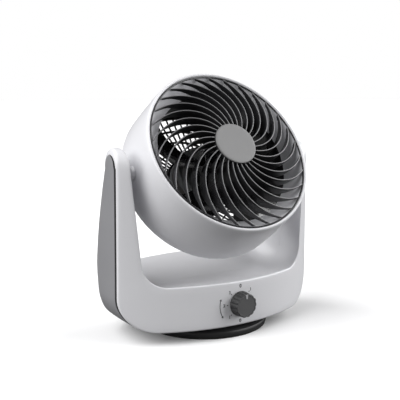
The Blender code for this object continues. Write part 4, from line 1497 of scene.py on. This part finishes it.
@dataclass
class Housing:
    """The white drum, its pivot bosses, the duct and the slotted rear cover."""

    head: Head
    bars: int = 60
    rows: tuple[float, ...] = (0.046, 0.0635, 0.0805, 0.0970, 0.1125)
    slant: float = 0.30
    ring_half: float = 0.0011
    ring_depth: float = 0.0032
    bar_thickness: float = 0.0017

    def build(self) -> None:
        """Makes every piece of the housing."""
        self._drum()
        self._duct()
        self._rear_cover()

    def _drum(self) -> None:
        """The turned shell with a rolled lip, joined to its two bosses."""
        h = self.head
        seat_r, rear_r = h.grille_radius + 0.0004, h.rear_radius + 0.0004
        outer = [
            (seat_r, h.depth(0.0022)),
            (seat_r + 0.0004, h.depth(0.0009)),
            (seat_r + 0.0012, h.depth(0.0001)),
            (seat_r + 0.0022, h.depth(-0.0003)),
            (h.rim - 0.0014, h.depth(0.0001)),
            (h.rim - 0.0005, h.depth(0.0010)),
            (h.rim, h.depth(0.0026)),
        ]
        for step in range(1, 9):
            share = step / 8
            radius = lerp(h.rim, h.drum, 1 - (1 - share) ** 1.7)
            outer.append((radius, h.depth(lerp(0.0026, h.straight, share))))
        outer += h.bowl_run(h.drum - 0.00001, rear_r, 12, 0.0)[1:]
        inner = h.bowl_run(rear_r, h.drum - h.wall - 0.00001, 8, h.wall)
        inner += [(h.rim - h.wall + 0.0004, h.depth(0.015)), (seat_r, h.depth(0.013))]
        place = h.place()
        joined = []
        for side in (-1, 1):
            r, end = h.boss_radius, h.boss_end
            profile = [(0.0, end), (r - 0.0007, end), (r - 0.0002, end - 0.0005)]
            profile += [(r - 0.0001, end - 0.0012), (r, 0.1320), (r + 0.0006, 0.1286)]
            profile += [(r + 0.0022, 0.1268), (0.0, 0.1245)]
            turn = place @ aimed((0, 0, 0), (side, 0, 0))
            joined.append((raw_object("boss", turned(profile, 64, turn)), "UNION"))
            hole = rod(h.pin_hole, 0.127, end + 0.002, turn, 32)
            joined.append((raw_object("pin_hole", hole), "DIFFERENCE"))
        shape = clean(combine(raw_object("drum", turned(outer + inner, 160, place)), joined))
        seat = Seat("head", "white_shell", ("drum_shell",))
        finish_object("drum_housing", shape, [WHITE], seat, 38.0)

    def _duct(self) -> None:
        """The black tube round the blades."""
        h = self.head
        far = h.drum - h.wall - 0.0006
        front, back = h.depth(h.duct_start), h.depth(h.straight)
        profile = [
            (h.duct_outer, front),
            (h.duct_outer, back + 2 * h.flange),
            (h.duct_outer + 0.0015, back + h.flange),
            (far, back + h.flange),
            (far, back),
            (h.duct_inner, back),
            (h.duct_inner, front),
        ]
        seat = Seat("head", "black_plastic", ("air_duct",))
        finish_object("duct_tube", turned(profile, 120, h.place()), [DUCT_BLACK], seat)

    def _rear_cover(self) -> None:
        """The rear cover: a dished centre, rings and slanted bars with slots between them."""
        h = self.head
        place = h.place()
        centre = self.rows[0]
        back = h.straight + h.bowl_depth
        profile = [
            (0.0, h.depth(back - 0.0010)),
            (0.030, h.depth(back - 0.0008)),
            (0.034, h.depth(back)),
            (centre, h.depth(back)),
            (centre, h.depth(back - h.wall)),
            (0.0, h.depth(back - h.wall)),
        ]
        shape = turned(profile, 120, place)
        for radius in self.rows[1:-1]:
            low, high = radius - self.ring_half, radius + self.ring_half
            ring = [(low, h.depth(h.bowl(low))), (high, h.depth(h.bowl(high)))]
            ring += [(r, h.depth(h.bowl(r) - self.ring_depth)) for r in (high, low)]
            merge(shape, turned(ring, 120, place))
        rim_low, rim_high = self.rows[-1], h.rear_radius
        rim = h.bowl_run(rim_low, rim_high, 3, 0.0) + h.bowl_run(rim_high, rim_low, 3, h.wall)
        merge(shape, turned(rim, 120, place))
        merge(shape, self._bar_ring(place))
        seat = Seat("head", "charcoal_grille", ("rear_cover",))
        finish_object("rear_guard", shape, [CHARCOAL], seat)

    def _bar_ring(self, place: Matrix) -> bmesh.types.BMesh:
        """The slanted bars between the rear cover's centre and its rim.

        Args:
            place: Where the head goes.

        Returns:
            The mesh.
        """
        h = self.head
        start, end = self.rows[0] - 0.001, self.rows[-1] + 0.001

        def surface(u: float, v: float) -> Vector:
            """A point of a bar's middle face.

            Args:
                u: Share along it.
                v: Share across it.

            Returns:
                The point.
            """
            radius = lerp(start, end, u)
            angle = self.slant * (u - 0.5)
            inner = h.depth(h.bowl(radius) - 0.0003 - 0.0028 * v)
            return Vector((radius * math.cos(angle), radius * math.sin(angle), inner))

        bars = repeat(sheet(12, 1, surface, self.bar_thickness), self.bars)
        bmesh.ops.transform(bars, matrix=place, verts=bars.verts)
        return bars


@dataclass
class Grille:
    """The front grille: conical frame, spiral vanes, hub and its disc."""

    head: Head
    count: int = 30
    start: float = math.radians(2.3)
    depth_of_vane: float = 0.0165
    thickness: float = 0.0013
    cone_radius: float = 0.0985
    cone_end: float = 0.0240
    vane_end: float = 0.1135

    def build(self) -> None:
        """Makes every piece of the grille."""
        self._frame()
        self._vanes()
        self._hub()

    def sweep(self, radius: float) -> float:
        """The angle that a vane has swept by a radius."""
        run = (radius - self.head.hub_radius) * 1000
        return math.radians(0.385 * run + 0.0023 * run**2)

    def front(self, radius: float) -> float:
        """How far behind the rim a vane's front edge lies: negative is in front.

        Args:
            radius: Distance from the head's axis.

        Returns:
            The distance behind the rim.
        """
        h = self.head
        share = max(0.0, (radius - h.hub_radius) / (h.grille_radius - h.hub_radius))
        return 0.0008 - (h.dome - 0.0016) * (1 - share**2)

    def _frame(self) -> None:
        """The ring at the rim and the cone behind it."""
        h = self.head
        outer = h.grille_radius - 0.0001
        ring = [
            (outer - 0.0020, h.depth(0.0022)),
            (outer - 0.0017, h.depth(0.0008)),
            (outer - 0.0010, h.depth(0.0004)),
            (outer - 0.0003, h.depth(0.0008)),
            (outer, h.depth(0.0016)),
            (outer, h.depth(0.010)),
            (outer - 0.0034, h.depth(0.010)),
            (0.1030, h.depth(self.cone_end)),
            (self.cone_radius, h.depth(self.cone_end)),
            (self.cone_radius, h.depth(self.cone_end - 0.0008)),
            (outer - 0.0030, h.depth(0.0036)),
        ]
        shape = turned(ring, 160)
        # The cone's inward faces take the pale grey, which holds the cone's own grey and a painted
        # reflection.
        for face in shape.faces:
            middle = face.calc_center_median()
            radius = math.hypot(middle.x, middle.y)
            inside = Vector((middle.x, middle.y, 0)).dot(face.normal) < 0
            face.material_index = 1 if inside and self.cone_radius < radius < outer - 0.0022 else 0
        bmesh.ops.transform(shape, matrix=h.place(), verts=shape.verts)
        seat = Seat("head", "charcoal_grille", ("front_grille",))
        finish_object("grille_frame", shape, [CHARCOAL, CONE_GREY_AND_SHEEN], seat)

    def _vanes(self) -> None:
        """The spiral vanes, each a bent sheet with a painted highlight in pale grey along its front
        edge.
        """
        h = self.head

        def surface(u: float, v: float) -> Vector:
            """A point of a vane's middle face.

            Args:
                u: Share along it.
                v: Share across it.

            Returns:
                The point.
            """
            end = lerp(h.grille_radius - 0.0022, self.vane_end, v)
            radius = lerp(h.hub_radius - 0.0012, end, u)
            angle = self.start + self.sweep(max(radius, h.hub_radius - 0.002))
            taper = 1 - 0.72 * smooth((u - 0.62) / 0.38)
            deep = self.front(radius) + self.depth_of_vane * v * taper
            return Vector((radius * math.cos(angle), radius * math.sin(angle), h.depth(deep)))

        shape = sheet(22, 3, surface, self.thickness)
        # Forward-facing faces and the bevels beside them take the pale grey: a painted highlight along
        # each vane's front edge.
        for face in shape.faces:
            face.material_index = 1 if face.normal.z > 0.75 else 0
        edges = [
            e
            for e in shape.edges
            if {f.material_index for f in e.link_faces} == {0, 1} and e.calc_face_angle(0.0) > 0.9
        ]
        bmesh.ops.bevel(
            shape,
            geom=edges,
            offset=0.00035,
            segments=2,
            profile=0.5,
            affect="EDGES",
            material=1,
            clamp_overlap=True,
        )
        repeat(shape, self.count)
        bmesh.ops.transform(shape, matrix=h.place(), verts=shape.verts)
        seat = Seat("head", "charcoal_grille")
        finish_object("grille_vanes", shape, [CHARCOAL, VANE_EDGE_HIGHLIGHT], seat, 50.0)

    def _hub(self) -> None:
        """The hub behind the vanes' roots and the disc that covers it."""
        h = self.head
        back = [
            (0.0, h.depth(-h.dome + 0.0019)),
            (h.hub_radius, h.depth(-h.dome + 0.0019)),
            (h.hub_radius + 0.0002, h.depth(-0.006)),
            (h.hub_radius - 0.002, h.depth(0.002)),
            (h.hub_radius - 0.005, h.depth(0.002)),
            (h.hub_radius - 0.005, h.depth(-0.004)),
            (0.0, h.depth(-0.004)),
        ]
        shape = turned(back, 96, h.place())
        finish_object("grille_hub", shape, [CHARCOAL], Seat("head", "charcoal_grille"))
        r, front = h.hub_radius, -h.dome
        disc = [
            (0.0, h.depth(front + 0.00025)),
            (r - 0.0060, h.depth(front + 0.0001)),
            (r - 0.0022, h.depth(front)),
            (r - 0.0010, h.depth(front + 0.0001)),
            (r - 0.0003, h.depth(front + 0.0005)),
            (r, h.depth(front + 0.0011)),
            (r, h.depth(front + 0.0016)),
            (0.0, h.depth(front + 0.0016)),
        ]
        seat = Seat("head", "grey_hub", ("hub_disc",))
        finish_object("hub_badge", turned(disc, 96, h.place()), [HUB_GREY], seat)


@dataclass
class Fan:
    """The blades and the nut in front of them."""

    head: Head
    count: int = 5
    tip: float = 0.101
    start: float = math.radians(28)
    root_width: float = 46.0
    tip_width: float = 44.0
    sweep: float = -26.0
    thickness: float = 0.0018
    hub_radius: float = 0.0260
    bore: float = 0.0043

    def build(self) -> None:
        """Makes the blades with their hub, and the nut."""
        h = self.head

        def surface(u: float, v: float) -> Vector:
            """A point of a blade's middle face.

            Args:
                u: Share along it.
                v: Share across it.

            Returns:
                The point.
            """
            radius = lerp(self.hub_radius - 0.0015, self.tip, u)
            bow = math.sin(math.pi * v)
            trim = 0.06 * (2 * v - 1) ** 2 * smooth((u - 0.75) / 0.25)
            width = math.radians(lerp(self.root_width, self.tip_width, u)) * (1 - trim)
            sweep = math.radians(self.sweep) * u**1.5
            angle = self.start + sweep + width * (0.5 - v)
            deep = lerp(lerp(0.034, 0.030, u), lerp(0.054, 0.068, u), v) + 0.004 * bow
            return Vector((radius * math.cos(angle), radius * math.sin(angle), h.depth(deep)))

        blades = repeat(sheet(18, 14, surface, self.thickness), self.count)
        hub = [
            (self.bore, h.depth(0.0260)),
            (0.0120, h.depth(0.0261)),
            (0.0180, h.depth(0.0270)),
            (0.0222, h.depth(0.0288)),
            (0.0248, h.depth(0.0320)),
            (self.hub_radius, h.depth(0.0365)),
            (self.hub_radius, h.depth(0.0600)),
            (0.0235, h.depth(0.0600)),
            (0.0235, h.depth(0.0340)),
            (0.0150, h.depth(0.0292)),
            (self.bore, h.depth(0.0290)),
        ]
        merge(blades, turned(hub, 72))
        bmesh.ops.transform(blades, matrix=h.place(), verts=blades.verts)
        seat = Seat("rotor", "black_plastic", ("fan_blade",))
        finish_object("blade_wheel", blades, [BLACK_GLOSS], seat)
        nut = [
            (0.0, h.depth(0.0195)),
            (0.0050, h.depth(0.0197)),
            (0.0070, h.depth(0.0206)),
            (0.0080, h.depth(0.0225)),
            (0.0080, h.depth(0.0257)),
            (self.bore, h.depth(0.0257)),
            (self.bore, h.depth(0.0222)),
            (0.0, h.depth(0.0222)),
        ]
        seat = Seat("rotor", "black_plastic", ("blade_nut",))
        finish_object("spinner_nut", turned(nut, 48, h.place()), [BLACK_SATIN], seat)


def dress_cad(nodes: dict[str, bpy.types.Object]) -> None:
    """Gives every CAD node that stays in view its finish.

    Args:
        nodes: The frame's nodes by name.
    """
    for name, finish in CAD_FINISHES.items():
        mesh = nodes[name].data
        mesh.materials.clear()
        mesh.materials.append(finish.material())
        LOG.info("%s: %s", name, finish.name)


def corners(bounds: Iterable[Iterable[float]]) -> list[list[float]]:
    """A box as plain lists of numbers."""
    return [[float(value) for value in corner] for corner in bounds]


def main() -> None:
    """Builds the studio and every piece."""
    logging.basicConfig(level=logging.INFO, format="%(name)s: %(message)s")
    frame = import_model()
    cad_box = corners(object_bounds())
    Studio().build()
    dress_cad(frame["nodes"])
    yoke = Yoke()
    yoke.build()
    Fixings().build(yoke)
    Foot().build()
    Control().build(yoke)
    head = Head()
    Housing(head).build()
    Grille(head).build()
    Fan(head).build()
    {"cad": cad_box, "visual": corners(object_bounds())}


if __name__ == "__main__":
    main()
